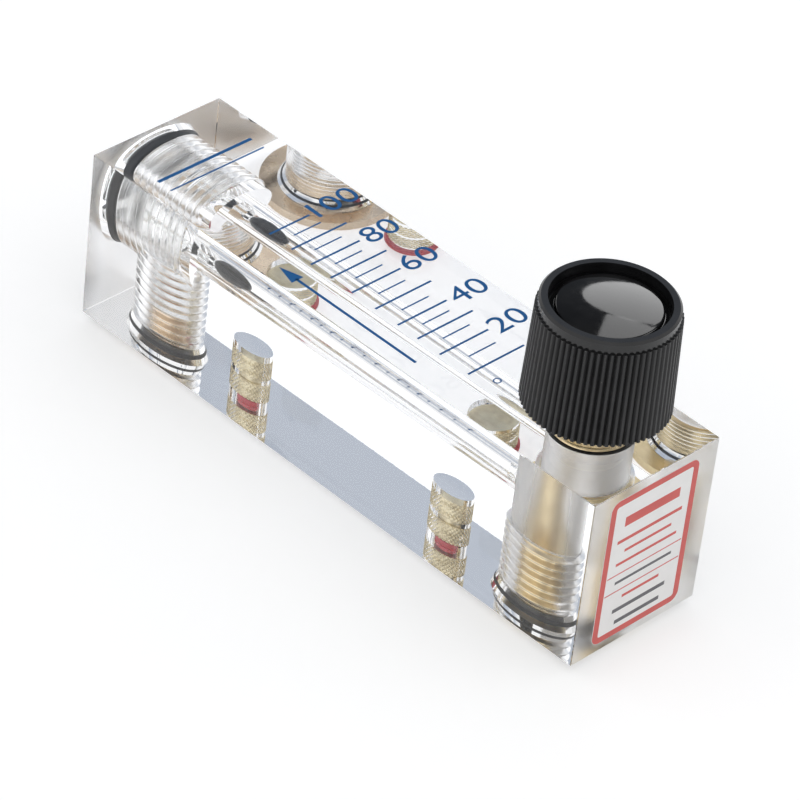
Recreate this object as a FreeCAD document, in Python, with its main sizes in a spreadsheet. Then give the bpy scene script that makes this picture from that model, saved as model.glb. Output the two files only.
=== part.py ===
"""Acrylic-block rotameter with a needle valve, as a parametric FreeCAD document.

The meter lies on the flanges of its two ports: +Z points out of the scale face, +X
runs along the tapered tube towards the inlet and its valve, and the origin is below
the centre of the block's back face, in the plane of the flanges.  All sizes are
millimetres and live in the sheet "dimensions".
"""
import FreeCAD, Part

import os
import re

import Sketcher
from FreeCAD import Placement, Rotation, Vector

DIMENSIONS = (
    ("block_length", 104.0, "acrylic block, along the tube"),
    ("block_width", 25.4, "acrylic block, across the tube"),
    ("block_depth", 29.0, "acrylic block, back face to scale face"),
    ("tube_height", 19.1, "tube axis above the back face"),
    ("port_inset", 12.9, "port axis to the end face of the block"),
    ("insert_clearance", 2.1, "washer of a panel insert to the flange of the port beside it"),
    ("thread_radius", 7.14, "9/16-18 straight thread, crest of the screw"),
    ("bore_radius", 6.35, "tap drill of that thread, and the plain valve bore"),
    ("thread_gap", 0.05, "radial play of a fitting in its threaded hole"),
    ("mouth_radius", 8.2, "sealing cone where a threaded hole meets its face"),
    ("mouth_depth", 2.4, "depth of the sealing cone"),
    ("outlet_thread_depth", 16.0, "threaded hole of the outlet, up into the chamber"),
    ("inlet_thread_depth", 13.0, "threaded hole of the inlet"),
    ("chamber_thread_reach", 4.1, "plug thread, past the outlet port axis"),
    ("chamber_reach", 6.1, "outlet chamber, past the outlet port axis"),
    ("tube_outlet_radius", 3.05, "tapered tube where it opens into the chamber"),
    ("tube_inlet_radius", 2.5, "tapered tube where it leaves the valve bore"),
    ("tube_overrun", 0.4, "tube drill, past the wall of the valve bore"),
    ("head_recess", 0.1, "fitting head, sunk below its face"),
    ("head_radius", 7.5, "head of a threaded fitting"),
    ("head_thickness", 0.6, "head of a threaded fitting"),
    ("flange_radius", 11.0, "flange of a port, outside the back face"),
    ("flange_thickness", 1.5, "flange of a port, and the height of the back face"),
    ("flange_gap", 0.03, "flange of a port below the back face"),
    ("gland_radius", 5.8, "neck under the head, where the seal sits"),
    ("gland_length", 1.9, "neck under the head"),
    ("seal_section", 0.78, "radius of a port seal's cord"),
    ("seal_gap", 0.02, "play between a seal and its neck"),
    ("plug_thread_length", 6.2, "threaded length of the end plug"),
    ("plug_nose_radius", 6.1, "plain nose of the end plug"),
    ("plug_nose_length", 1.0, "plain nose of the end plug"),
    ("slot_width", 1.6, "screwdriver slot of the end plug"),
    ("slot_depth", 1.8, "screwdriver slot of the end plug"),
    ("adapter_thread_length", 4.7, "threaded length of the outlet adapter"),
    ("pipe_radius", 4.25, "1/8 pipe thread, as its tapping bore"),
    ("pipe_depth", 9.5, "1/8 pipe thread in the valve body"),
    ("stop_pin_radius", 0.9, "shank of the outlet float stop"),
    ("stop_pin_seat", 3.0, "shank inside the end plug"),
    ("stop_head_radius", 1.5, "button of the outlet float stop"),
    ("stop_head_length", 1.2, "button of the outlet float stop"),
    ("stop_reach", 1.75, "stop button, into the tube"),
    ("ring_stop_thickness", 1.2, "inlet float stop, pressed into the tube"),
    ("ring_stop_bore", 1.5, "flow hole of the inlet float stop"),
    ("press_gap", 0.02, "play of a pressed or glued piece"),
    ("float_length", 7.5, "float, end to end"),
    ("float_radius", 2.4, "float at its thickest"),
    ("float_gap", 0.05, "float from its stop at rest"),
    ("valve_thread_length", 9.8, "threaded length of the valve body"),
    ("column_radius", 3.75, "valve body inside the plain bore"),
    ("land_radius", 6.3, "guiding land of the valve body"),
    ("land_thickness", 0.9, "guiding land of the valve body"),
    ("land_drop", 1.45, "top of the land below the scale face"),
    ("neck_radius", 5.1, "valve body where it leaves the block"),
    ("neck_height", 4.2, "valve body above the scale face"),
    ("front_mouth_radius", 7.0, "sealing cone on the scale face"),
    ("front_mouth_depth", 1.4, "sealing cone on the scale face"),
    ("front_seal_section", 0.68, "radius of the front seal's cord"),
    ("passage_radius", 1.8, "passage from the pipe thread to the seat"),
    ("passage_length", 3.2, "passage from the pipe thread to the seat"),
    ("needle_bore", 2.9, "bore that guides the needle carrier"),
    ("cross_hole_radius", 1.1, "flow holes through the valve body's wall"),
    ("cross_hole_rise", 2.3, "flow holes above the seat"),
    ("seat_thickness", 2.0, "valve seat"),
    ("orifice_radius", 1.0, "hole in the valve seat"),
    ("orifice_gap", 0.06, "closed needle to the seat's hole"),
    ("needle_tip_radius", 0.3, "blunt tip of the needle"),
    ("needle_tip_length", 1.7, "tapered part of the needle"),
    ("needle_shank_radius", 1.5, "needle between taper and carrier"),
    ("needle_shank_length", 3.0, "needle between taper and carrier"),
    ("needle_travel", 3.81, "six turns of a 0.635 pitch thread"),
    ("carrier_length", 7.0, "threaded carrier at the needle's top"),
    ("carrier_floor", 0.8, "carrier below its threaded hole"),
    ("running_gap", 0.07, "radial play of every piece that turns or slides"),
    ("screw_shank_radius", 1.5, "left-hand screw that drives the needle"),
    ("screw_clearance", 0.25, "end of that screw to the carrier's floor, open"),
    ("key_slot_width", 1.3, "slot in the carrier for the guide pin"),
    ("key_pin_radius", 0.58, "guide pin that stops the needle turning"),
    ("key_pin_reach", 1.95, "guide pin's tip, from the valve axis"),
    ("stem_bore", 4.0, "bore for the stem's sealing land"),
    ("stem_land_length", 2.9, "sealing land of the stem"),
    ("stem_seal_section", 0.52, "radius of the stem seal's cord"),
    ("stem_groove_width", 1.3, "groove for the stem seal"),
    ("stem_radius", 3.1, "stem above its land"),
    ("clip_thickness", 0.6, "retaining clip above the stem's land"),
    ("clip_depth", 0.4, "groove of the clip in the neck's wall"),
    ("clip_opening", 3.0, "gap in the retaining clip"),
    ("nut_radius", 6.2, "bonnet nut"),
    ("nut_height", 2.3, "bonnet nut"),
    ("nut_bevel", 0.3, "bevel on both rims of the bonnet nut"),
    ("nut_lift", 0.1, "bonnet nut above the scale face"),
    ("knob_gap", 4.8, "knob above the scale face"),
    ("knob_height", 17.2, "knob, skirt to rim"),
    ("knob_skirt_radius", 10.9, "over the flutes at the skirt"),
    ("knob_shoulder_radius", 10.4, "over the flutes at their upper end"),
    ("knob_band_radius", 10.05, "smooth band above the flutes"),
    ("knob_band_height", 1.75, "smooth band above the flutes"),
    ("knob_rim_bevel", 0.35, "outer edge of the rim"),
    ("knob_rim_width", 0.95, "flat of the rim"),
    ("flute_count", 70.0, "flutes around the knob"),
    ("flute_depth", 0.42, "flute, below the crests"),
    ("flute_width", 0.62, "flute, at the crests"),
    ("skirt_wall", 1.7, "knob skirt at its mouth"),
    ("skirt_hollow", 4.0, "hollow under the knob"),
    ("hub_radius", 5.6, "hub of the knob"),
    ("hub_recess", 0.6, "hub above the skirt's mouth"),
    ("stem_engagement", 9.3, "stem inside the hub"),
    ("web_thickness", 1.6, "web between the stem's top and the screw's head"),
    ("head_pocket_radius", 3.2, "pocket for the knob screw"),
    ("cap_recess_depth", 2.6, "recess for the cap, below the rim"),
    ("cap_radius", 8.3, "cap"),
    ("cap_edge", 0.9, "cap at its rim"),
    ("cap_bevel", 1.3, "bevelled border of the cap"),
    ("cap_bevel_rise", 0.65, "height of that border"),
    ("cap_crown", 0.55, "rise of the domed middle of the cap"),
    ("screw_head_radius", 2.9, "knob screw"),
    ("screw_head_height", 1.8, "knob screw"),
    ("screw_radius", 1.4, "knob screw"),
    ("screw_length", 5.6, "knob screw under its head"),
    ("insert_radius", 3.9, "knurled panel insert"),
    ("insert_length", 7.4, "knurled panel insert"),
    ("insert_recess", 1.2, "insert below the back face"),
    ("insert_hole_depth", 9.7, "blind hole for the insert"),
    ("insert_groove_depth", 0.3, "groove between the two knurled bands"),
    ("insert_groove_width", 0.9, "groove between the two knurled bands"),
    ("screw_hole_radius", 2.05, "10-32 thread, as its tapping bore"),
    ("screw_hole_depth", 6.6, "10-32 thread, blind, up into the insert"),
    ("dust_ring_bore", 2.3, "red ring at the insert's mouth"),
    ("dust_ring_sleeve", 3.5, "red ring where it enters the insert's hole"),
    ("dust_ring_reach", 0.8, "red ring, into the insert's hole"),
    ("dust_ring_radius", 4.9, "red ring's washer, outside the back face"),
    ("dust_ring_thickness", 0.9, "red ring's washer, outside the back face"),
    ("label_width", 17.9, "label on the inlet end"),
    ("label_height", 25.9, "label on the inlet end"),
    ("label_rise", 1.5, "label above the back face"),
    ("label_thickness", 0.1, "label"),
)

ALIASES = {alias for alias, _, _ in DIMENSIONS}

# Places that several pieces share, as formulas of the sheet's values.
PORT_X = "(block_length / 2 - port_inset)"
INSERT_X = f"({PORT_X} - flange_radius - insert_clearance - dust_ring_radius)"
TUBE_START = f"(chamber_reach - {PORT_X})"
TUBE_END = f"({PORT_X} - bore_radius + tube_overrun)"
HEAD_END = "(head_recess + head_thickness)"
GLAND_END = f"({HEAD_END} + gland_length)"
FIT_RADIUS = "(thread_radius - thread_gap)"
SEAL_RING = "(gland_radius + seal_section + seal_gap)"
SEAL_DEPTH = f"({HEAD_END} + gland_length / 2)"
PLUG_THREAD_END = f"({GLAND_END} + plug_thread_length)"
PLUG_END = f"({PLUG_THREAD_END} + plug_nose_length)"
STOP_TIP = f"({TUBE_START} + stop_reach)"
FLOAT_CENTRE = f"({STOP_TIP} + float_gap + float_length / 2)"

# Heads of the screwed-in fittings: radius, outer face and inner face.
SUNK_HEAD = ("head_radius", "head_recess", HEAD_END)
PORT_FLANGE = ("flange_radius", "-flange_thickness", "-flange_gap")

# Heights along the valve's axis, above the back face.
THREAD_TOP = f"({GLAND_END} + valve_thread_length)"
LAND_TOP = "(block_depth - land_drop)"
NECK_TOP = "(block_depth + neck_height)"
PIPE_TOP = "(pipe_depth - flange_thickness)"
SEAT_FLOOR = f"({PIPE_TOP} + passage_length)"
SEAT_TOP = f"({SEAT_FLOOR} + seat_thickness)"
SHOULDER = f"({SEAT_TOP} + orifice_gap)"
CARRIER_FLOOR = f"({SHOULDER} + needle_shank_length)"
CARRIER_TOP = f"({CARRIER_FLOOR} + carrier_length)"
STEM_SHELF = f"({CARRIER_TOP} + needle_travel + running_gap)"
SCREW_END = f"({CARRIER_FLOOR} + carrier_floor + needle_travel + screw_clearance)"
LAND_START = f"({STEM_SHELF} + running_gap)"
LAND_END = f"({LAND_START} + stem_land_length)"
CLIP_FLOOR = f"({LAND_END} + running_gap)"
KEY_HEIGHT = f"({CARRIER_FLOOR} + needle_travel + (carrier_length - needle_travel) / 2)"
KNOB_BASE = "(block_depth + knob_gap)"
HUB_TOP = "(hub_recess + stem_engagement)"
SCREW_SEAT = f"({HUB_TOP} + web_thickness)"
CAP_FLOOR = "(knob_height - cap_recess_depth)"
STEM_TOP = f"({KNOB_BASE} + {HUB_TOP})"

doc = FreeCAD.newDocument("rotameter")
pieces = []


def write_sheet():
    """Fill the spreadsheet with the driving dimensions."""
    sheet = doc.addObject("Spreadsheet::Sheet", "dimensions")
    for row, (alias, value, meaning) in enumerate(DIMENSIONS, start=1):
        sheet.set(f"A{row}", meaning)
        sheet.set(f"B{row}", str(value))
        sheet.setAlias(f"B{row}", alias)
    doc.recompute()


def bind(thing, path, formula):
    """Tie one property to a formula of the sheet's values."""
    words = re.compile(r"[a-z][a-z0-9_]*")
    linked = words.sub(lambda m: f"dimensions.{m.group()}" if m.group() in ALIASES else m.group(), formula)
    thing.setExpression(path, linked)


def place(thing, at=("0", "0", "0"), turn=Rotation()):
    """Turn a piece and tie its position to the sheet: heights count from the back face."""
    thing.Placement = Placement(Vector(0, 0, 0), turn)
    along, across, height = at
    for axis, formula in zip("xyz", (along, across, f"{height} + flange_thickness")):
        if formula != "0":
            bind(thing, f"Placement.Base.{axis}", formula)


ALONG_X = Rotation(Vector(0, 1, 0), 90)
ALONG_MINUS_X = Rotation(Vector(0, 1, 0), -90)
ALONG_Y = Rotation(Vector(1, 0, 0), -90)
VALVE_AXIS = (PORT_X, "0", "0")
TUBE_AXIS = ("0", "0", "tube_height")


def keep(thing, label):
    """Name a finished piece, which is then written to a file of that name."""
    thing.Label = label
    pieces.append(thing)
    return thing


# ---------------------------------------------------------------- primitives

def cylinder(name, radius, height, at, turn=Rotation()):
    solid = doc.addObject("Part::Cylinder", name)
    bind(solid, "Radius", radius)
    bind(solid, "Height", height)
    place(solid, at, turn)
    return solid


def cone(name, radius_at_base, radius_at_top, height, at, turn=Rotation()):
    solid = doc.addObject("Part::Cone", name)
    bind(solid, "Radius1", radius_at_base)
    bind(solid, "Radius2", radius_at_top)
    bind(solid, "Height", height)
    place(solid, at, turn)
    return solid


def box(name, length, width, height, at):
    solid = doc.addObject("Part::Box", name)
    bind(solid, "Length", length)
    bind(solid, "Width", width)
    bind(solid, "Height", height)
    place(solid, at)
    return solid


def seal_ring(label, ring, section, at, turn=Rotation()):
    """An O-ring: ring is the radius of the cord's centre line."""
    torus = doc.addObject("Part::Torus", label)
    bind(torus, "Radius1", ring)
    bind(torus, "Radius2", section)
    place(torus, at, turn)
    return keep(torus, label)


def cut(name, solid, tools):
    """Take several tools out of a solid at once."""
    union = doc.addObject("Part::MultiFuse", f"{name}_tools")
    union.Shapes = tools
    result = doc.addObject("Part::Cut", name)
    result.Base = solid
    result.Tool = union
    return result


# ------------------------------------------------------- bodies from sketches

def origin_part(body, role):
    return next(f for f in body.Origin.OriginFeatures if f.Role == role)


def sketch_polygon(body, name, role, corners):
    """A closed outline whose corners are pairs of formulas, fully constrained."""
    sketch = body.newObject("Sketcher::SketchObject", name)
    sketch.AttachmentSupport = [(origin_part(body, role), "")]
    sketch.MapMode = "FlatFace"
    count = len(corners)
    start = [Vector(20 + i, 10 + i * i, 0) for i in range(count)]
    edges = [Part.LineSegment(start[i], start[(i + 1) % count]) for i in range(count)]
    sketch.addGeometry(edges, False)
    for i in range(count):
        sketch.addConstraint(Sketcher.Constraint("Coincident", i, 2, (i + 1) % count, 1))
    for i, corner in enumerate(corners):
        for kind, own_axis, formula in zip(("DistanceX", "DistanceY"), (-2, -1), corner):
            if formula == "0":
                sketch.addConstraint(Sketcher.Constraint("PointOnObject", i, 1, own_axis))
            else:
                index = sketch.addConstraint(Sketcher.Constraint(kind, -1, 1, i, 1, 5.0 + i))
                bind(sketch, f"Constraints[{index}]", formula)
    return sketch


def sketch_circle(body, name, role, centre, radius):
    """A circle whose centre and radius are formulas."""
    sketch = body.newObject("Sketcher::SketchObject", name)
    sketch.AttachmentSupport = [(origin_part(body, role), "")]
    sketch.MapMode = "FlatFace"
    sketch.addGeometry(Part.Circle(Vector(1, 1, 0), Vector(0, 0, 1), 1.0), False)
    for kind, own_axis, formula in zip(("DistanceX", "DistanceY"), (-2, -1), centre):
        if formula == "0":
            sketch.addConstraint(Sketcher.Constraint("PointOnObject", 0, 3, own_axis))
        else:
            index = sketch.addConstraint(Sketcher.Constraint(kind, -1, 1, 0, 3, 1.0))
            bind(sketch, f"Constraints[{index}]", formula)
    index = sketch.addConstraint(Sketcher.Constraint("Radius", 0, 1.0))
    bind(sketch, f"Constraints[{index}]", radius)
    return sketch


def turned(label, corners, at=("0", "0", "0"), turn=Rotation()):
    """A body turned about its own Z: corners are (radius, height) formulas."""
    body = doc.addObject("PartDesign::Body", label)
    profile = sketch_polygon(body, f"{label}_profile", "XZ_Plane", corners)
    revolution = body.newObject("PartDesign::Revolution", f"{label}_turning")
    revolution.Profile = (profile, [""])
    revolution.ReferenceAxis = (profile, ["V_Axis"])
    revolution.Angle = 360.0
    place(body, at, turn)
    doc.recompute()
    return keep(body, label)


def pocket(body, profile, length, both_ways=False):
    """Cut a sketched outline out of a body, whichever way the material lies."""
    doc.recompute()
    before = body.Shape.Volume
    feature = body.newObject("PartDesign::Pocket", f"{profile.Name}_cut")
    feature.Profile = (profile, [""])
    feature.Type = "Length"
    feature.SideType = "Symmetric" if both_ways else "One side"
    bind(feature, "Length", length)
    doc.recompute()
    if body.Shape.Volume > before - 1e-6:
        feature.Reversed = True
        doc.recompute()
    if body.Shape.Volume > before - 1e-6:
        raise RuntimeError(f"{profile.Name} cuts nothing")
    return feature


# ------------------------------------------------------------ block and plug

def make_block():
    """The acrylic block with its ports, chamber, tube, valve bore and insert holes."""
    slab = box("slab", "block_length", "block_width", "block_depth",
               ("-block_length / 2", "-block_width / 2", "0"))
    cavities = []
    for side, sign in (("outlet", "-1"), ("inlet", "1")):
        axis = (f"{sign} * {PORT_X}", "0", "0")
        cavities.append(cylinder(f"{side}_hole", "thread_radius", f"{side}_thread_depth", axis))
        cavities.append(cone(f"{side}_mouth", "mouth_radius", "thread_radius", "mouth_depth", axis))
        cavities.append(cylinder(f"{side}_insert_hole", "insert_radius + press_gap", "insert_hole_depth",
                                 (f"{sign} * {INSERT_X}", "0", "0")))
    cavities.append(cylinder("valve_bore", "bore_radius", "block_depth", VALVE_AXIS))
    cavities.append(cone("front_mouth", "bore_radius", "front_mouth_radius", "front_mouth_depth",
                         (PORT_X, "0", "block_depth - front_mouth_depth")))
    end_face = ("-block_length / 2", "0", "tube_height")
    cavities.append(cylinder("plug_hole", "thread_radius", "port_inset + chamber_thread_reach",
                             end_face, ALONG_X))
    cavities.append(cylinder("chamber", "bore_radius", "port_inset + chamber_reach", end_face, ALONG_X))
    cavities.append(cone("plug_mouth", "mouth_radius", "thread_radius", "mouth_depth", end_face, ALONG_X))
    cavities.append(cone("tapered_tube", "tube_outlet_radius", "tube_inlet_radius",
                         f"{TUBE_END} - {TUBE_START}", (TUBE_START, "0", "tube_height"), ALONG_X))
    return keep(cut("block_solid", slab, cavities), "block")


def fitting_profile(bore, thread_length, head):
    """Head, gland and thread shared by the screwed-in fittings, from the bore outwards."""
    radius, outer_face, inner_face = head
    return [
        (bore, outer_face),
        (radius, outer_face),
        (radius, inner_face),
        ("gland_radius", inner_face),
        ("gland_radius", GLAND_END),
        (FIT_RADIUS, GLAND_END),
        (FIT_RADIUS, f"{GLAND_END} + {thread_length}"),
    ]


def make_end_plug():
    """The clear plug that closes the outlet chamber and carries the float's stop."""
    socket = "stop_pin_radius + press_gap"
    corners = fitting_profile("0", "plug_thread_length", SUNK_HEAD) + [
        ("plug_nose_radius", PLUG_THREAD_END),
        ("plug_nose_radius", PLUG_END),
        (socket, PLUG_END),
        (socket, f"{PLUG_END} - stop_pin_seat"),
        ("0", f"{PLUG_END} - stop_pin_seat"),
    ]
    end_face = ("-block_length / 2", "0", "tube_height")
    plug = turned("end_plug", corners, end_face, ALONG_X)
    slot = sketch_polygon(plug, "plug_slot", "YZ_Plane", [
        ("-slot_width / 2", "head_recess"),
        ("slot_width / 2", "head_recess"),
        ("slot_width / 2", "head_recess + slot_depth"),
        ("-slot_width / 2", "head_recess + slot_depth"),
    ])
    pocket(plug, slot, "2 * head_radius + 1", both_ways=True)
    seal_ring("plug_o_ring", SEAL_RING, "seal_section",
              (f"{SEAL_DEPTH} - block_length / 2", "0", "tube_height"), ALONG_X)


def make_outlet_adapter():
    """The brass bush with the outlet's pipe thread."""
    corners = fitting_profile("pipe_radius", "adapter_thread_length", PORT_FLANGE)
    corners.append(("pipe_radius", f"{GLAND_END} + adapter_thread_length"))
    turned("outlet_adapter", corners, (f"-1 * {PORT_X}", "0", "0"))
    seal_ring("outlet_o_ring", SEAL_RING, "seal_section", (f"-1 * {PORT_X}", "0", SEAL_DEPTH))


# ------------------------------------------------------------ tube and float

def make_float_stops():
    """A button on a pin at the outlet, and a ring pressed into the inlet end of the tube."""
    pin_start = f"(-block_length / 2 + {PLUG_END} - stop_pin_seat + press_gap)"
    length = f"({STOP_TIP} - {pin_start})"
    corners = [
        ("0", "0"),
        ("stop_pin_radius", "0"),
        ("stop_pin_radius", f"{length} - stop_head_length"),
        ("stop_head_radius", f"{length} - 0.8 * stop_head_length"),
        ("stop_head_radius", f"{length} - 0.4 * stop_head_length"),
        ("0.6 * stop_head_radius", length),
        ("0", length),
    ]
    turned("outlet_float_stop", corners, (pin_start, "0", "tube_height"), ALONG_X)
    ring_radius = "tube_inlet_radius - press_gap"
    ring = [
        ("ring_stop_bore", "0"),
        (ring_radius, "0"),
        (ring_radius, "ring_stop_thickness"),
        ("ring_stop_bore", "ring_stop_thickness"),
    ]
    start = f"{PORT_X} - bore_radius - ring_stop_thickness"
    turned("inlet_float_stop", ring, (start, "0", "tube_height"), ALONG_X)


def make_float():
    """The float, an elongated egg that rests against the outlet stop."""
    egg = doc.addObject("Part::Ellipsoid", "float")
    bind(egg, "Radius1", "float_length / 2")
    bind(egg, "Radius2", "float_radius")
    bind(egg, "Radius3", "float_radius")
    egg.Angle1 = -90
    egg.Angle2 = 90
    egg.Angle3 = 360
    place(egg, (FLOAT_CENTRE, "0", "tube_height"), ALONG_X)
    keep(egg, "float")


# --------------------------------------------------------------------- valve

def make_valve_body():
    """The brass body: pipe thread, seat shelf, needle bore, stem bore and clip groove."""
    clip_top = f"{CLIP_FLOOR} + clip_thickness + running_gap"
    clip_wall = "stem_bore + clip_depth"
    corners = fitting_profile("pipe_radius", "valve_thread_length", PORT_FLANGE) + [
        ("column_radius", THREAD_TOP),
        ("column_radius", f"{LAND_TOP} - land_thickness"),
        ("land_radius", f"{LAND_TOP} - land_thickness"),
        ("land_radius", LAND_TOP),
        ("neck_radius", LAND_TOP),
        ("neck_radius", NECK_TOP),
        ("stem_bore", NECK_TOP),
        ("stem_bore", clip_top),
        (clip_wall, clip_top),
        (clip_wall, CLIP_FLOOR),
        ("stem_bore", CLIP_FLOOR),
        ("stem_bore", STEM_SHELF),
        ("needle_bore", STEM_SHELF),
        ("needle_bore", SEAT_FLOOR),
        ("passage_radius", SEAT_FLOOR),
        ("passage_radius", PIPE_TOP),
        ("pipe_radius", PIPE_TOP),
    ]
    body = turned("valve_body", corners, VALVE_AXIS)
    flow = sketch_circle(body, "flow_holes", "YZ_Plane",
                         ("0", f"{SEAT_TOP} + cross_hole_rise"), "cross_hole_radius")
    pocket(body, flow, "2 * column_radius + 1", both_ways=True)
    key = sketch_circle(body, "key_hole", "XZ_Plane", ("0", KEY_HEIGHT), "key_pin_radius + press_gap")
    pocket(body, key, "column_radius + 1")
    seal_ring("inlet_o_ring", SEAL_RING, "seal_section", (PORT_X, "0", SEAL_DEPTH))
    seal_ring("front_o_ring", "neck_radius + front_seal_section + press_gap", "front_seal_section",
              (PORT_X, "0", f"{LAND_TOP} + front_seal_section + press_gap"))


def make_guide_pin():
    """The pin that keeps the needle from turning, in the wall that its hole leaves."""
    wall_hole = doc.getObject("key_hole_cut")
    side = -1 if wall_hole.Reversed else 1
    turn = Rotation(Vector(1, 0, 0), -90 * side)
    cylinder_at = (PORT_X, f"{side} * key_pin_reach", KEY_HEIGHT)
    pin = cylinder("guide_pin", "key_pin_radius", "column_radius - key_pin_reach", cylinder_at, turn)
    keep(pin, "guide_pin")
    return side


def make_valve_seat():
    seat_radius = "needle_bore - press_gap"
    turned("valve_seat", [
        ("orifice_radius", SEAT_FLOOR),
        (seat_radius, SEAT_FLOOR),
        (seat_radius, SEAT_TOP),
        ("orifice_radius", SEAT_TOP),
    ], VALVE_AXIS)


def make_needle(side):
    """The needle and its threaded carrier, shut, with the slot for the guide pin."""
    seated = "orifice_radius - orifice_gap"
    bore = "screw_shank_radius + running_gap"
    corners = [
        ("0", f"{SHOULDER} - needle_tip_length"),
        ("needle_tip_radius", f"{SHOULDER} - needle_tip_length"),
        (seated, SHOULDER),
        ("needle_shank_radius", SHOULDER),
        ("needle_shank_radius", CARRIER_FLOOR),
        ("needle_bore - running_gap", CARRIER_FLOOR),
        ("needle_bore - running_gap", CARRIER_TOP),
        (bore, CARRIER_TOP),
        (bore, f"{CARRIER_FLOOR} + carrier_floor"),
        ("0", f"{CARRIER_FLOOR} + carrier_floor"),
    ]
    needle = turned("needle", corners, VALVE_AXIS)
    keyway = sketch_polygon(needle, "keyway", "YZ_Plane", [
        (f"{side} * (key_pin_reach - running_gap)", f"{CARRIER_FLOOR} - 1"),
        (f"{side} * (needle_bore + 1)", f"{CARRIER_FLOOR} - 1"),
        (f"{side} * (needle_bore + 1)", f"{CARRIER_TOP} + 1"),
        (f"{side} * (key_pin_reach - running_gap)", f"{CARRIER_TOP} + 1"),
    ])
    pocket(needle, keyway, "key_slot_width", both_ways=True)


def make_stem():
    """The stem: left-hand screw below, sealing land with its groove, shaft into the knob."""
    land = "stem_bore - running_gap"
    groove = "stem_bore - running_gap / 2 - 2 * stem_seal_section"
    middle = f"{LAND_START} + stem_land_length / 2"
    tapped = "screw_radius + press_gap"
    corners = [
        ("0", SCREW_END),
        ("screw_shank_radius", SCREW_END),
        ("screw_shank_radius", LAND_START),
        (land, LAND_START),
        (land, f"{middle} - stem_groove_width / 2"),
        (groove, f"{middle} - stem_groove_width / 2"),
        (groove, f"{middle} + stem_groove_width / 2"),
        (land, f"{middle} + stem_groove_width / 2"),
        (land, LAND_END),
        ("stem_radius", LAND_END),
        ("stem_radius", STEM_TOP),
        (tapped, STEM_TOP),
        (tapped, f"{STEM_TOP} - screw_length"),
        ("0", f"{STEM_TOP} - screw_length"),
    ]
    turned("valve_stem", corners, VALVE_AXIS)
    seal_ring("stem_o_ring", "stem_bore - running_gap / 2 - stem_seal_section",
              "stem_seal_section - press_gap", (PORT_X, "0", middle))


def make_retaining_clip():
    """The open ring that holds the stem down in the neck."""
    ring = cylinder("clip_disc", "stem_bore + clip_depth - press_gap", "clip_thickness",
                    (PORT_X, "0", f"{CLIP_FLOOR} + press_gap"))
    inside = cylinder("clip_inside", "stem_radius + running_gap", "clip_thickness",
                      (PORT_X, "0", f"{CLIP_FLOOR} + press_gap"))
    opening = box("clip_gap", "stem_bore + clip_depth", "clip_opening", "clip_thickness",
                  (PORT_X, "-clip_opening / 2", f"{CLIP_FLOOR} + press_gap"))
    keep(cut("clip_ring", ring, [inside, opening]), "stem_retaining_clip")


def make_bonnet_nut():
    base = "(block_depth + nut_lift)"
    bore = "neck_radius + thread_gap"
    turned("bonnet_nut", [
        (bore, base),
        ("nut_radius - nut_bevel", base),
        ("nut_radius", f"{base} + nut_bevel"),
        ("nut_radius", f"{base} + nut_height - nut_bevel"),
        ("nut_radius - nut_bevel", f"{base} + nut_height"),
        (bore, f"{base} + nut_height"),
    ], VALVE_AXIS)


# ---------------------------------------------------------------------- knob

def make_knob():
    """The fluted knob: a turned and hollowed moulding with tapered flutes all round."""
    bore = "stem_radius + press_gap"
    screw_hole = "screw_radius + 2 * press_gap"
    recess = "knob_band_radius - knob_rim_bevel - knob_rim_width"
    flutes_end = "knob_height - knob_band_height"
    corners = [
        (bore, "hub_recess"),
        ("hub_radius", "hub_recess"),
        ("hub_radius", "skirt_hollow"),
        ("knob_skirt_radius - skirt_wall", "skirt_hollow"),
        ("knob_skirt_radius - skirt_wall", "0"),
        ("knob_skirt_radius", "0"),
        ("knob_shoulder_radius", flutes_end),
        ("knob_band_radius", flutes_end),
        ("knob_band_radius", "knob_height - knob_rim_bevel"),
        ("knob_band_radius - knob_rim_bevel", "knob_height"),
        (recess, "knob_height"),
        (recess, CAP_FLOOR),
        ("head_pocket_radius", CAP_FLOOR),
        ("head_pocket_radius", SCREW_SEAT),
        (screw_hole, SCREW_SEAT),
        (screw_hole, HUB_TOP),
        (bore, HUB_TOP),
    ]
    knob = turned("knob", corners, (PORT_X, "0", KNOB_BASE))
    cut_flutes(knob, flutes_end)


def flute_outline(knob, name, crest, height):
    """One flute's V across the wall, at a height above the skirt."""
    outline = sketch_polygon(knob, name, "XY_Plane", [
        (f"{crest} - flute_depth", "0"),
        (f"{crest} + flute_depth", "-flute_width"),
        (f"{crest} + flute_depth", "flute_width"),
    ])
    bind(outline, "AttachmentOffset.Base.z", height)
    return outline


def cut_flutes(knob, flutes_end):
    """Cut one tapered flute between two outlines and repeat it round the knob."""
    low = flute_outline(knob, "flute_low", "knob_skirt_radius", "0")
    high = flute_outline(knob, "flute_high", "knob_shoulder_radius", flutes_end)
    doc.recompute()
    flute = knob.newObject("PartDesign::SubtractiveLoft", "flute")
    flute.Profile = (low, [""])
    flute.Sections = [(high, [""])]
    flute.Ruled = True
    doc.recompute()
    ring = knob.newObject("PartDesign::PolarPattern", "flutes")
    ring.Originals = [flute]
    ring.Axis = (origin_part(knob, "Z_Axis"), [""])
    ring.Angle = 360.0
    bind(ring, "Occurrences", "flute_count")
    knob.Tip = ring
    doc.recompute()


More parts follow.
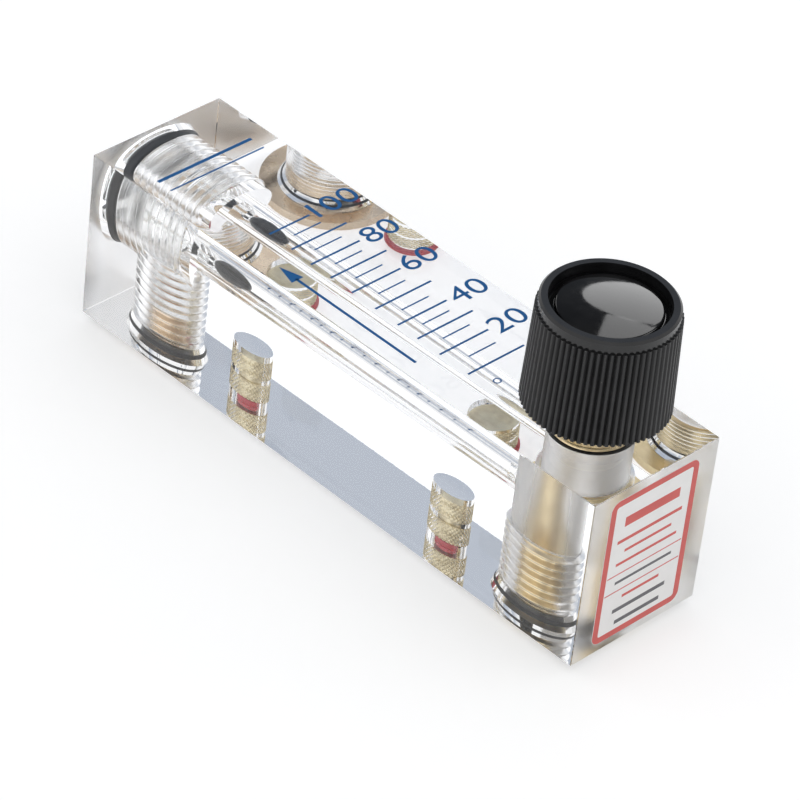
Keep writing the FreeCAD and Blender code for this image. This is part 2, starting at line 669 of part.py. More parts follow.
def make_knob_cap():
    """The domed cap: a bevelled disc under a shallow sphere."""
    floor = f"({KNOB_BASE} + {CAP_FLOOR} + press_gap)"
    border = "(cap_edge + cap_bevel_rise)"
    crown_radius = "(cap_radius - cap_bevel)"
    sphere_radius = f"(({crown_radius} * {crown_radius} + cap_crown * cap_crown) / (2 * cap_crown))"
    rim = cylinder("cap_rim", "cap_radius", "cap_edge", (PORT_X, "0", floor))
    bevel = cone("cap_border", "cap_radius", crown_radius, "cap_bevel_rise",
                 (PORT_X, "0", f"{floor} + cap_edge"))
    core = cylinder("cap_core", crown_radius, "cap_crown", (PORT_X, "0", f"{floor} + {border}"))
    dome = doc.addObject("Part::Sphere", "cap_dome")
    bind(dome, "Radius", sphere_radius)
    place(dome, (PORT_X, "0", f"{floor} + {border} + cap_crown - {sphere_radius}"))
    crown = doc.addObject("Part::Common", "cap_crowned")
    crown.Base = core
    crown.Tool = dome
    cap = doc.addObject("Part::MultiFuse", "cap_solid")
    cap.Shapes = [rim, bevel, crown]
    keep(cap, "knob_cap")


def make_knob_screw():
    """The slotted screw under the cap that holds the knob on the stem."""
    seat = f"{SCREW_SEAT} + press_gap"
    corners = [
        ("0", f"{seat} - screw_length + press_gap"),
        ("screw_radius", f"{seat} - screw_length + press_gap"),
        ("screw_radius", seat),
        ("screw_head_radius", seat),
        ("screw_head_radius", f"{seat} + screw_head_height"),
        ("0", f"{seat} + screw_head_height"),
    ]
    screw = turned("knob_screw", corners, (PORT_X, "0", KNOB_BASE))
    top = f"{seat} + screw_head_height"
    slot = sketch_polygon(screw, "screw_slot", "YZ_Plane", [
        ("-slot_width / 4", f"{top} - slot_width / 2"),
        ("slot_width / 4", f"{top} - slot_width / 2"),
        ("slot_width / 4", top),
        ("-slot_width / 4", top),
    ])
    pocket(screw, slot, "2 * screw_head_radius + 1", both_ways=True)


# ---------------------------------------------------------- inserts and label

def make_inserts():
    """The two knurled brass inserts for panel screws, each with its red washer-headed ring."""
    groove_low = "insert_recess + (insert_length - insert_groove_width) / 2"
    groove_high = "insert_recess + (insert_length + insert_groove_width) / 2"
    groove = "insert_radius - insert_groove_depth"
    for side, sign in (("outlet", "-1"), ("inlet", "1")):
        at = (f"{sign} * {INSERT_X}", "0", "0")
        turned(f"{side}_side_insert", [
            ("screw_hole_radius", "insert_recess"),
            ("insert_radius", "insert_recess"),
            ("insert_radius", groove_low),
            (groove, groove_low),
            (groove, groove_high),
            ("insert_radius", groove_high),
            ("insert_radius", "insert_recess + insert_length"),
            ("0", "insert_recess + insert_length"),
            ("0", "insert_recess + screw_hole_depth"),
            ("screw_hole_radius", "insert_recess + screw_hole_depth"),
        ], at)
        turned(f"{side}_side_ring", [
            ("dust_ring_bore", "-dust_ring_thickness"),
            ("dust_ring_radius", "-dust_ring_thickness"),
            ("dust_ring_radius", "-flange_gap"),
            ("dust_ring_sleeve", "-flange_gap"),
            ("dust_ring_sleeve", "dust_ring_reach"),
            ("dust_ring_bore", "dust_ring_reach"),
        ], at)


def make_label():
    sheet = box("end_label", "label_thickness", "label_width", "label_height",
                ("block_length / 2", "-label_width / 2", "label_rise"))
    keep(sheet, "end_label")


# -------------------------------------------------------------------- output

def check_and_write():
    """Refuse failed or invalid objects, then write one STEP file per piece."""
    doc.recompute()
    for thing in doc.Objects:
        if {"Invalid", "Error"} & set(thing.State):
            raise RuntimeError(f"{thing.Name} failed: {thing.State}")
    for piece in pieces:
        shape = piece.Shape
        if shape.isNull() or not shape.isValid() or not shape.Solids:
            raise RuntimeError(f"{piece.Label} has no valid solid")
    os.makedirs("parts", exist_ok=True)
    for piece in pieces:
        piece.Shape.exportStep(f"parts/{piece.Label}.step")
        low, high = piece.Shape.BoundBox.ZMin, piece.Shape.BoundBox.ZMax
        print(f"{piece.Label:22s} {piece.Shape.Volume:10.2f} mm3   z {low:6.2f} to {high:6.2f}")


def main():
    write_sheet()
    make_block()
    make_end_plug()
    make_outlet_adapter()
    make_float_stops()
    make_float()
    make_valve_body()
    side = make_guide_pin()
    make_valve_seat()
    make_needle(side)
    make_stem()
    make_retaining_clip()
    make_bonnet_nut()
    make_knob()
    make_knob_cap()
    make_knob_screw()
    make_inserts()
    make_label()
    check_and_write()


main()
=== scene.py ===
"""Look of a clear acrylic-block rotameter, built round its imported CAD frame.

Lengths in the classes are millimetres, and heights count from the block's back
face, as in the part's source.  The mesh helpers turn them to metres and lift them
by the port flanges on which the meter lies.  +Z points out of the scale face and
+X runs along the tube towards the inlet and its valve.
"""
import logging
import math
from collections.abc import Sequence
from dataclasses import dataclass
from enum import Enum

import bmesh
import bpy
from mathutils import Matrix, Vector


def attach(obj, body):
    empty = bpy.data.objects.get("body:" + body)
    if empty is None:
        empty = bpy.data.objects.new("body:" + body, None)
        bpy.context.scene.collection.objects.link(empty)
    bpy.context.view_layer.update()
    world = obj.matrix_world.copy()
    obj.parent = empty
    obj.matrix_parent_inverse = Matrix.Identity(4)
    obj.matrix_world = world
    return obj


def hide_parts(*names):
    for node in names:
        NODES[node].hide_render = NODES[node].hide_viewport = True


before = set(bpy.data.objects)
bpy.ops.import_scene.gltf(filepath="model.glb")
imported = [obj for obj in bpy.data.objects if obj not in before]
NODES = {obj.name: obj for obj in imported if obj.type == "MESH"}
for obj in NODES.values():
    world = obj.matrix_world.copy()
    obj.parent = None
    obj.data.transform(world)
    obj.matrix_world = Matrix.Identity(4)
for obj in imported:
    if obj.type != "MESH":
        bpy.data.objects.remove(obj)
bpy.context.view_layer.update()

logging.basicConfig(level=logging.INFO, format="%(name)s: %(message)s")
LOG = logging.getLogger("rotameter")

MM = 0.001
FLANGE = 1.5
LIFT = Matrix.Translation((0, 0, FLANGE))
FULL_TURN = 2 * math.pi
FLANK_SLOPE = math.tan(math.radians(30))
OVERCUT = 0.5
FACING = 0.9
Colour = tuple[float, float, float]
Corner = tuple[float, float]


class Body(Enum):
    """The CAD bodies that pieces ride on."""

    METER = "meter_body"
    KNOB = "knob_assembly"
    FLOAT = "float"


class Direction(Enum):
    """Which way a turned piece's own axis points in the part's frame."""

    UP = Matrix.Identity(4)
    ALONG_X = Matrix.Rotation(math.radians(90), 4, "Y")


# ---- shader helpers

class Value:
    """A number that varies over a surface: a socket with Python's operators."""

    def __init__(self, tree: bpy.types.NodeTree, socket: bpy.types.NodeSocket) -> None:
        """Wrap one output socket of a node tree."""
        self.tree = tree
        self.socket = socket

    def _math(self, operation: str, *values: "Value | float") -> "Value":
        """Add one Math node.

        Args:
            operation: the node's operation.
            values: its inputs in order, numbers or values.

        Returns:
            The node's result as a value.
        """
        node = self.tree.nodes.new("ShaderNodeMath")
        node.operation = operation
        for slot, value in zip(node.inputs, values):
            if isinstance(value, Value):
                self.tree.links.new(value.socket, slot)
            else:
                slot.default_value = value
        return Value(self.tree, node.outputs[0])

    def __add__(self, other: "Value | float") -> "Value":
        """Sum."""
        return self._math("ADD", self, other)

    __radd__ = __add__

    def __sub__(self, other: "Value | float") -> "Value":
        """Difference."""
        return self._math("SUBTRACT", self, other)

    def __rsub__(self, other: float) -> "Value":
        """Difference from a number."""
        return self._math("SUBTRACT", other, self)

    def __mul__(self, other: "Value | float") -> "Value":
        """Product."""
        return self._math("MULTIPLY", self, other)

    __rmul__ = __mul__

    def ramp(self, low: float, high: float) -> "Value":
        """Smooth step that is 0 below low and 1 above high."""
        node = self.tree.nodes.new("ShaderNodeMapRange")
        node.interpolation_type = "SMOOTHSTEP"
        self.tree.links.new(self.socket, node.inputs["Value"])
        node.inputs["From Min"].default_value = low
        node.inputs["From Max"].default_value = high
        return Value(self.tree, node.outputs["Result"])


class Tree:
    """A node tree with one method that adds any node."""

    def __init__(self, tree: bpy.types.NodeTree) -> None:
        """Wrap a node tree."""
        self.tree = tree

    def node(self, kind: str, settings: dict | None = None, inputs: dict | None = None) -> bpy.types.Node:
        """Add a node.

        Args:
            kind: the node's type.
            settings: attributes, set before the inputs.
            inputs: values, sockets or Values by socket name or index.

        Returns:
            The new node.
        """
        node = self.tree.nodes.new(kind)
        for name, value in (settings or {}).items():
            setattr(node, name, value)
        for name, value in (inputs or {}).items():
            self.feed(node.inputs[name], value)
        return node

    def feed(self, slot: bpy.types.NodeSocket, value: object) -> None:
        """Link or set one input socket."""
        if isinstance(value, Value):
            self.tree.links.new(value.socket, slot)
        elif isinstance(value, bpy.types.NodeSocket):
            self.tree.links.new(value, slot)
        elif isinstance(value, tuple) and len(value) == 3 and slot.type == "RGBA":
            slot.default_value = (*value, 1.0)
        else:
            slot.default_value = value

    def value(self, node: bpy.types.Node, output: str | int = 0) -> Value:
        """One output of a node as a Value."""
        return Value(self.tree, node.outputs[output])

    def mix(self, share: Value, low: object, high: object) -> bpy.types.NodeSocket:
        """Colour that goes from low to high as share goes from 0 to 1."""
        node = self.node("ShaderNodeMix", {"data_type": "RGBA"}, {0: share, 6: low, 7: high})
        return node.outputs[2]

    def place(self, stretch: Sequence[float] = (1, 1, 1)) -> bpy.types.NodeSocket:
        """Object coordinates in millimetres, stretched along the axes."""
        coordinates = self.node("ShaderNodeTexCoord")
        scale = tuple(factor / MM for factor in stretch)
        mapping = self.node("ShaderNodeMapping", None,
                            {"Vector": coordinates.outputs["Object"], "Scale": scale})
        return mapping.outputs[0]

    def height(self) -> Value:
        """Height above the flanges, in millimetres."""
        split = self.node("ShaderNodeSeparateXYZ", None, {0: self.place()})
        return self.value(split, "Z")

    def noise(self, size: float, detail: float = 3.0, stretch: Sequence[float] = (1, 1, 1)) -> Value:
        """Noise whose features are about size millimetres."""
        node = self.node("ShaderNodeTexNoise", None,
                         {"Vector": self.place(stretch), "Scale": 1 / size, "Detail": detail})
        return self.value(node, "Fac")


class Paint(Tree):
    """A material under construction, with its Principled shader."""

    def __init__(self, name: str) -> None:
        """Start an empty material of that name."""
        self.material = bpy.data.materials.new(name)
        self.material.use_nodes = True
        super().__init__(self.material.node_tree)
        self.shader = self.tree.nodes["Principled BSDF"]

    def set(self, **inputs: object) -> None:
        """Feed the Principled shader: underscores stand for blanks."""
        for name, value in inputs.items():
            self.feed(self.shader.inputs[name.replace("_", " ")], value)

    def bump(self, height: Value, depth: float) -> None:
        """Raise the surface by height times depth millimetres."""
        node = self.node("ShaderNodeBump", None, {"Height": height, "Distance": depth * MM, "Strength": 1.0})
        self.feed(self.shader.inputs["Normal"], node.outputs[0])


# ---- finishes

@dataclass(frozen=True)
class Acrylic:
    """Polished clear acrylic.

    Attributes:
        name: the material's name.
        tint: what is left of white light at each surface.
        roughness: 0 is polished, and a sawn or sanded face is satin.
    """

    name: str
    tint: Colour = (0.955, 0.962, 0.975)
    roughness: float = 0.0

    def make(self) -> bpy.types.Material:
        """Build the material."""
        paint = Paint(self.name)
        paint.set(Base_Color=self.tint, Roughness=self.roughness, IOR=1.49, Transmission_Weight=1.0)
        return paint.material


@dataclass(frozen=True)
class Metal:
    """Turned metal with fine tool rings and a little tarnish.

    Attributes:
        name: the material's name.
        bright: colour of the clean metal.
        dull: colour of the tarnished metal.
        roughness: of the clean metal.
        ring_pitch: between tool rings, in millimetres.
        ring_depth: of the tool rings, in millimetres.
        tarnish: size of its clouds, and the noise at which they start and are full.
    """

    name: str
    bright: Colour
    dull: Colour
    roughness: float = 0.22
    ring_pitch: float = 0.16
    ring_depth: float = 0.004
    tarnish: tuple[float, float, float] = (2.2, 0.35, 0.75)

    def make(self) -> bpy.types.Material:
        """Build the material."""
        paint = Paint(self.name)
        size, start, full = self.tarnish
        tarnish = paint.noise(size, 4.0).ramp(start, full)
        rings = paint.noise(self.ring_pitch, 2.0, (0.05, 0.05, 1.0))
        paint.set(Base_Color=paint.mix(tarnish, self.bright, self.dull), Metallic=1.0,
                  Roughness=self.roughness + 0.12 * tarnish + 0.08 * rings)
        paint.bump(rings, self.ring_depth)
        return paint.material


@dataclass(frozen=True)
class Moulding:
    """Opaque plastic, rubber or fibre.

    Attributes:
        name: the material's name.
        colour: main colour.
        worn: colour that the noise mixes in.
        roughness: mean roughness.
        grain: size of the surface grain, in millimetres.
        relief: depth of that grain, in millimetres.
        coat: weight of a clear coat.
        mirror: how strongly the surface reflects, where 0.5 is common.
        polish: how much smoother the upper part is.
        polish_heights: where that starts and is reached, above the flanges.
    """

    name: str
    colour: Colour
    worn: Colour
    roughness: float
    grain: float = 0.25
    relief: float = 0.004
    coat: float = 0.0
    mirror: float = 0.5
    polish: float = 0.0
    polish_heights: tuple[float, float] = (0.0, 1.0)

    def make(self) -> bpy.types.Material:
        """Build the material."""
        paint = Paint(self.name)
        cloud = paint.noise(3.0, 4.0).ramp(0.3, 0.8)
        grain = paint.noise(self.grain, 3.0)
        polish = self.polish * paint.height().ramp(*self.polish_heights) if self.polish else 0.0
        paint.set(Base_Color=paint.mix(cloud, self.colour, self.worn),
                  Roughness=self.roughness + 0.1 * (grain - 0.5) - polish, Coat_Weight=self.coat,
                  Specular_IOR_Level=self.mirror)
        paint.bump(grain, self.relief)
        return paint.material


Finish = Acrylic | Metal | Moulding

CLEAR = Acrylic("clear_acrylic")
PLUG_CLEAR = Acrylic("plug_acrylic", (0.98, 0.985, 0.983))
SATIN = Acrylic("satin_acrylic", (0.995, 0.994, 0.992), 0.36)
MACHINED = Acrylic("machined_acrylic", (0.98, 0.98, 0.975), 0.24)
BORED = Acrylic("bored_acrylic", (1.0, 0.992, 0.978), 0.5)
REAMED = Acrylic("reamed_acrylic", (0.975, 0.978, 0.98), 0.05)
STOP_CLEAR = Acrylic("stop_plastic", (0.96, 0.965, 0.96), 0.06)
VALVE_BRASS = Metal("valve_brass", (0.93, 0.77, 0.47), (0.80, 0.64, 0.37), 0.24)
ADAPTER_BRASS = Metal("adapter_brass", (0.88, 0.72, 0.53), (0.83, 0.66, 0.48), 0.2)
NUT_BRASS = Metal("nut_brass", (0.90, 0.76, 0.50), (0.80, 0.65, 0.40), 0.14)
INSERT_BRASS = Metal("insert_brass", (0.88, 0.78, 0.54), (0.66, 0.56, 0.36), 0.3, 0.5, 0.002)
STEEL = Metal("bright_steel", (0.66, 0.67, 0.68), (0.52, 0.53, 0.54), 0.2)
NEEDLE_STEEL = Metal("needle_steel", (0.62, 0.63, 0.64), (0.50, 0.51, 0.52), 0.16)
SEAL = Moulding("seal_rubber", (0.012, 0.012, 0.013), (0.03, 0.03, 0.032), 0.42)
SEAT = Moulding("seat_plastic", (0.84, 0.83, 0.78), (0.74, 0.73, 0.69), 0.4)
RED_FIBRE = Moulding("red_fibre", (0.92, 0.10, 0.13), (0.84, 0.08, 0.10), 0.4)
KNOB_BLACK = Moulding("knob_plastic", (0.006, 0.006, 0.0065), (0.012, 0.012, 0.013), 0.5, 0.18, 0.008,
                      polish=0.28, polish_heights=(50.5, 50.9))
CAP_BLACK = Moulding("cap_plastic", (0.002, 0.002, 0.0022), (0.004, 0.004, 0.0042), 0.06, 1.5, 0.0003,
                     mirror=0.08)
FLOAT_GLASS = Moulding("float_glass", (0.008, 0.008, 0.009), (0.012, 0.012, 0.013), 0.16, 1.0, 0.001,
                       0.06, mirror=0.25)
BLUE_INK = Moulding("blue_ink", (0.0005, 0.085, 0.27), (0.0008, 0.095, 0.29), 0.5, 0.3, 0.001, mirror=0.25)
LABEL_WHITE = Moulding("label_white", (0.86, 0.85, 0.84), (0.82, 0.81, 0.80), 0.4, 0.3, 0.001)
LABEL_RED = Moulding("label_red", (0.62, 0.09, 0.075), (0.56, 0.075, 0.065), 0.38, 0.3, 0.001)
LABEL_GREY = Moulding("label_grey", (0.09, 0.09, 0.10), (0.12, 0.12, 0.13), 0.38, 0.3, 0.001)


# ---- mesh helpers

def make_object(bm: bmesh.types.BMesh, name: str, matrix: Matrix = Matrix.Identity(4),
                outward: bool = True) -> bpy.types.Object:
    """Turn a bmesh in millimetres into an object whose mesh lies in metres.

    Args:
        bm: the mesh, which is freed.
        name: of the object.
        matrix: from the mesh's own millimetres to the block's.
        outward: recalculates the normals.

    Returns:
        The linked object, at the origin.
    """
    bmesh.ops.transform(bm, matrix=Matrix.Scale(MM, 4) @ LIFT @ matrix, verts=bm.verts)
    if outward:
        bmesh.ops.recalc_face_normals(bm, faces=bm.faces)
    mesh = bpy.data.meshes.new(name)
    bm.to_mesh(mesh)
    bm.free()
    made = bpy.data.objects.new(name, mesh)
    bpy.context.scene.collection.objects.link(made)
    return made


def smooth(made: bpy.types.Object, angle: float = 30.0) -> bpy.types.Object:
    """Shade an object smooth, apart from edges sharper than angle degrees."""
    made.data.shade_smooth()
    made.data.set_sharp_from_angle(angle=math.radians(angle))
    return made


def turn_profile(corners: Sequence[Corner], segments: int = 96, closed: bool = True) -> bmesh.types.BMesh:
    """Turn (radius, height) corners into a solid of revolution.

    Args:
        corners: the outline, in millimetres.
        segments: round the axis.
        closed: joins the last corner to the first.

    Returns:
        The mesh, about its own Z.
    """
    bm = bmesh.new()
    verts = [bm.verts.new((radius, 0, height)) for radius, height in corners]
    edges = [bm.edges.new(pair) for pair in zip(verts, verts[1:])]
    if closed:
        edges.append(bm.edges.new((verts[-1], verts[0])))
    bmesh.ops.spin(bm, geom=verts + edges, cent=(0, 0, 0), axis=(0, 0, 1), angle=FULL_TURN,
                   steps=segments, use_merge=True)
    bmesh.ops.remove_doubles(bm, verts=bm.verts, dist=1e-4)
    loose = [edge for edge in bm.edges if not edge.link_faces]
    bmesh.ops.delete(bm, geom=loose, context="EDGES")
    return bm


def pin(radius: float, low: float, high: float, tip: float | None = None) -> list[Corner]:
    """Outline of a pin between two heights, tapered where its tip's radius is given."""
    return [(0, low), (radius, low), (radius if tip is None else tip, high), (0, high)]


def helix(corners: Sequence[Corner], start: float, pitch: float, turns: int, steps: int = 72,
          solid: bool = True) -> bmesh.types.BMesh:
    """Sweep (radius, height) corners up a right-hand helix.

    Args:
        corners: the profile, in millimetres.
        start: height from which the corners' heights count.
        pitch: rise of one turn.
        turns: whole turns.
        steps: of a turn.
        solid: closes the profile and both ends.

    Returns:
        The mesh, about its own Z.
    """
    bm = bmesh.new()
    verts = [bm.verts.new((radius, 0, start + height)) for radius, height in corners]
    if solid:
        face = bm.faces.new(verts)
        geometry = [*verts, *face.edges, face]
    else:
        geometry = verts + [bm.edges.new(pair) for pair in zip(verts, verts[1:])]
    bmesh.ops.spin(bm, geom=geometry, cent=(0, 0, 0), axis=(0, 0, 1), angle=FULL_TURN * turns,
                   dvec=(0, 0, pitch / steps), steps=steps * turns)
    return bm


def add_box(bm: bmesh.types.BMesh, low: Sequence[float], high: Sequence[float]) -> None:
    """Add a box between two opposite corners."""
    verts = bmesh.ops.create_cube(bm, size=1.0)["verts"]
    bmesh.ops.scale(bm, vec=[b - a for a, b in zip(low, high)], verts=verts)
    bmesh.ops.translate(bm, vec=[(a + b) / 2 for a, b in zip(low, high)], verts=verts)


def frame_matrix(at: Sequence[float], way: Direction = Direction.UP) -> Matrix:
    """Matrix that puts a piece's own axis at a point, pointing a way."""
    return Matrix.Translation(Vector(at)) @ way.value


def carve(target: bpy.types.Object, tools: Sequence[bpy.types.Object]) -> bpy.types.Object:
    """Cut closed tools out of an object, one after the other, and delete the tools."""
    for tool in tools:
        change = target.modifiers.new(tool.name, "BOOLEAN")
        change.operation = "DIFFERENCE"
        change.solver = "EXACT"
        change.object = tool
    evaluated = target.evaluated_get(bpy.context.evaluated_depsgraph_get())
    mesh = bpy.data.meshes.new_from_object(evaluated)
    target.modifiers.clear()
    target.data = mesh
    for tool in tools:
        bpy.data.objects.remove(tool)
    return target


def finish_piece(made: bpy.types.Object, finish: Finish, slot: str = "", *replaces: str,
                 body: Body = Body.METER) -> bpy.types.Object:
    """Paint a piece, tie it to its body and hide the CAD nodes that it stands for.

    Args:
        made: the piece.
        finish: what its surface is made of.
        slot: the record's material slot, if it has one; not used.
        replaces: CAD nodes that it stands for.
        body: the CAD body that it rides on.

    Returns:
        The piece.
    """
    made.data.materials.clear()
    made.data.materials.append(finish.make())
    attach(made, body.value)
    if replaces:
        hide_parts(*replaces)
    LOG.info("%s, %d faces", made.name, len(made.data.polygons))
    return made


# ---- thread

@dataclass(frozen=True)
class Thread:
    """The 9/16-18 straight thread of the ports, cut in the block and on its fittings."""

    pitch: float = 1.411
    crest: float = 7.14
    root: float = 6.39
    gap: float = 0.05
    crest_flat: float = 0.24
    touch: float = 0.02
    overreach: float = 0.03

    @property
    def flank(self) -> float:
        """Rise of a flank from root to crest."""
        return (self.crest - self.root) * FLANK_SLOPE

    @property
    def rise(self) -> float:
        """Height at which the first crest starts."""
        return (self.pitch - self.crest_flat) / 2

    def cuts(self, radius: float, depth: float, end: float) -> bool:
        """Whether a point this far from the axis and from the face lies on the thread."""
        return self.root - self.touch < radius < self.crest + self.touch and 0 < depth < end

    def rod(self, low: float, high: float) -> bmesh.types.BMesh:
        """Closed threaded rod that cuts the hole, from height low to high."""
        start = self.pitch * (math.floor(low / self.pitch) - 1)
        top = self.rise + self.crest_flat
        corners = [(self.root, 0), (self.root, self.rise - self.flank), (self.crest, self.rise),
                   (self.crest, top), (self.root, top + self.flank), (self.root, self.pitch)]
        turns = math.ceil((high - start) / self.pitch) + 1
        bm = helix(corners, start, self.pitch, turns, solid=False)
        bmesh.ops.remove_doubles(bm, verts=bm.verts, dist=1e-3)
        for height, side in ((low, "clear_inner"), (high, "clear_outer")):
            bmesh.ops.bisect_plane(bm, geom=[*bm.verts, *bm.edges, *bm.faces], dist=1e-4,
                                   plane_co=(0, 0, height), plane_no=(0, 0, 1), **{side: True})
            rim = [edge for edge in bm.edges if edge.is_boundary
                   and all(abs(vert.co.z - height) < 1e-3 for vert in edge.verts)]
            bmesh.ops.holes_fill(bm, edges=rim, sides=0)
        return bm

    def groove(self, low: float, high: float) -> bmesh.types.BMesh:
        """Closed helical cutter that leaves the fitting's thread, in step with the rod."""
        inner, outer = self.root - self.gap, self.crest + self.overreach
        half = self.rise - self.flank
        spread = half + (outer - inner) * FLANK_SLOPE
        start = self.pitch * math.floor(low / self.pitch)
        turns = math.ceil((high - start) / self.pitch) + 1
        corners = [(inner, -half), (outer, -spread), (outer, spread), (inner, half)]
        return helix(corners, start, self.pitch, turns)


def tapped_cutter(pitch: float, minor: float, major: float, low: float, high: float) -> bmesh.types.BMesh:
    """Closed helical cutter that leaves an inner thread between two heights.

    Args:
        pitch: of the thread.
        minor: radius of the plain bore.
        major: radius at the bottom of the thread.
        low: where the thread starts.
        high: where it ends.

    Returns:
        The cutter, about its own Z.
    """
    inner = minor - 0.1
    flat = 0.06 * pitch
    half = flat + (major - inner) * FLANK_SLOPE
    turns = max(1, int((high - low) / pitch))
    return helix([(inner, -half), (major, -flat), (major, flat), (inner, half)], low, pitch, turns, 48)


THREAD = Thread()


# ---- block

@dataclass
class Block:
    """The acrylic block, with its threaded ports, chamber, tapered tube and insert holes.

    Attributes:
        mouth: radius and depth of the sealing cone of a port.
        front_mouth: the same at the scale face, round the valve.
        tube: radius at the chamber and at the valve.
        tube_laps: how far the tube reaches into the chamber and the valve's bore.
        insert_hole: radius and depth.
        finishes: of the faces that _finish tells apart, with the outer faces' first.
    """

    length: float = 104.0
    width: float = 25.4
    depth: float = 29.0
    tube_height: float = 19.1
    port_x: float = 39.1
    insert_x: float = 21.1
    bore: float = 6.35
    mouth: tuple[float, float] = (8.2, 2.4)
    front_mouth: tuple[float, float] = (6.7, 1.4)
    outlet_depth: float = 16.0
    inlet_depth: float = 13.0
    plug_depth: float = 17.0
    chamber_depth: float = 19.0
    tube: tuple[float, float] = (3.05, 2.5)
    tube_laps: tuple[float, float] = (0.3, 0.4)
    insert_hole: tuple[float, float] = (3.8, 9.7)
    edge: float = 0.1
    finishes: tuple[Finish, ...] = (CLEAR, SATIN, MACHINED, BORED, REAMED)

    @property
    def outlet(self) -> Matrix:
        """Place of the outlet adapter."""
        return frame_matrix((-self.port_x, 0, 0))

    @property
    def inlet(self) -> Matrix:
        """Place of the valve."""
        return frame_matrix((self.port_x, 0, 0))

    @property
    def end(self) -> Matrix:
        """Place of the plug, which points into the chamber."""
        return frame_matrix((-self.length / 2, 0, self.tube_height), Direction.ALONG_X)

    def _hole(self, name: str, corners: Sequence[Corner], matrix: Matrix,
              segments: int = 96) -> bpy.types.Object:
        """A turned cutter whose outline starts and ends on its axis."""
        return make_object(turn_profile(corners, segments, closed=False), name, matrix)

    def _port(self, name: str, depth: float, matrix: Matrix) -> list[bpy.types.Object]:
        """The mouth cone and the threaded hole of one port."""
        radius, cone = self.mouth
        slope = (radius - THREAD.crest) / cone
        corners = pin(radius + OVERCUT * slope, -OVERCUT, cone, THREAD.crest - 0.01)
        return [self._hole(f"{name}_mouth", corners, matrix),
                make_object(THREAD.rod(-2 * OVERCUT, depth), f"{name}_thread", matrix)]

    def build(self) -> bpy.types.Object:
        """Cut the block and smooth its bores."""
        half = self.length / 2
        bm = bmesh.new()
        add_box(bm, (-half, -self.width / 2, 0), (half, self.width / 2, self.depth))
        bmesh.ops.bevel(bm, geom=bm.edges[:], offset=self.edge, segments=1, affect="EDGES",
                        profile=0.5, material=-1)
        block = make_object(bm, "block_clear")
        tools = self._port("outlet", self.outlet_depth, self.outlet)
        tools += self._port("inlet", self.inlet_depth, self.inlet)
        tools += self._port("plug", self.plug_depth, self.end)
        radius, cone = self.front_mouth
        slope = (radius - self.bore) / cone
        top = self.depth + OVERCUT
        corners = [(0, -OVERCUT), (self.bore, -OVERCUT), (self.bore, self.depth - cone),
                   (radius + OVERCUT * slope, top), (0, top)]
        tools.append(self._hole("valve_bore", corners, self.inlet))
        tools.append(self._hole("chamber", pin(self.bore, -OVERCUT, self.chamber_depth), self.end))
        start = self.chamber_depth - half
        lap, far_lap = self.tube_laps
        corners = pin(self.tube[0], -lap, self.port_x - self.bore + far_lap - start, self.tube[1])
        along_tube = frame_matrix((start, 0, self.tube_height), Direction.ALONG_X)
        tools.append(self._hole("tube", corners, along_tube, 64))
        radius, depth = self.insert_hole
        for side in (-1, 1):
            tools.append(self._hole(f"insert_hole_{side}", pin(radius, -OVERCUT, depth),
                                    frame_matrix((side * self.insert_x, 0, 0)), 64))
        return smooth(carve(block, tools))

    def _finish(self, face: bpy.types.MeshPolygon) -> Finish:
        """What tool left a face of the block."""
        x, y, z = face.center / MM
        height = z - FLANGE
        from_tube = math.hypot(height - self.tube_height, y)
        if abs(face.normal.x) > FACING and abs(abs(x) - self.length / 2) < 0.01:
            return SATIN
        if (THREAD.cuts(math.hypot(abs(x) - self.port_x, y), height, self.outlet_depth)
                or THREAD.cuts(from_tube, x + self.length / 2, self.plug_depth)):
            return MACHINED
        from_valve = math.hypot(x - self.port_x, y)
        if from_valve < THREAD.crest and height > self.inlet_depth and face.normal.z < FACING:
            return BORED
        return REAMED if from_tube < self.tube[0] and abs(face.normal.x) < FACING else CLEAR

    def add(self) -> None:
        """Build and dress the block."""
        made = finish_piece(self.build(), self.finishes[0], "clear_acrylic", "block")
        for finish in self.finishes[1:]:
            made.data.materials.append(finish.make())
        for face in made.data.polygons:
            face.material_index = self.finishes.index(self._finish(face))


# ---- fittings

@dataclass
class Fitting:
    """What the screwed-in fittings share: head, gland and thread, from the face inwards.

    Attributes:
        head: radius, outer face and inner face of the head or flange.
        bevel: of the head's outer rim and of the bore's mouth.
        gland: radius and end of the neck that holds the seal.
    """

    head: tuple[float, float, float] = (11.0, -FLANGE, -0.03)
    bevel: float = 0.25
    gland: tuple[float, float] = (5.8, 2.6)

    def outline(self, bore: float, thread_end: float) -> list[Corner]:
        """Corners from the bore's mouth to the end of the thread."""
        radius, outer, inner = self.head
        neck, gland_end = self.gland
        fit = THREAD.crest - THREAD.gap
        mouth = [(bore, outer + 2 * self.bevel), (bore + 2 * self.bevel, outer)] if bore else [(0, outer)]
        return [*mouth, (radius - self.bevel, outer), (radius, outer + self.bevel), (radius, inner),
                (neck, inner), (neck, gland_end), (fit, gland_end), (fit, thread_end)]

    def build(self, name: str, corners: Sequence[Corner], thread_end: float, matrix: Matrix,
              closed: bool = True) -> bpy.types.Object:
        """Turn a fitting and cut its outer thread."""
        body = make_object(turn_profile(corners, closed=closed), name, matrix)
        groove = make_object(THREAD.groove(self.gland[1], thread_end), f"{name}_groove", matrix)
        return smooth(carve(body, [groove]))


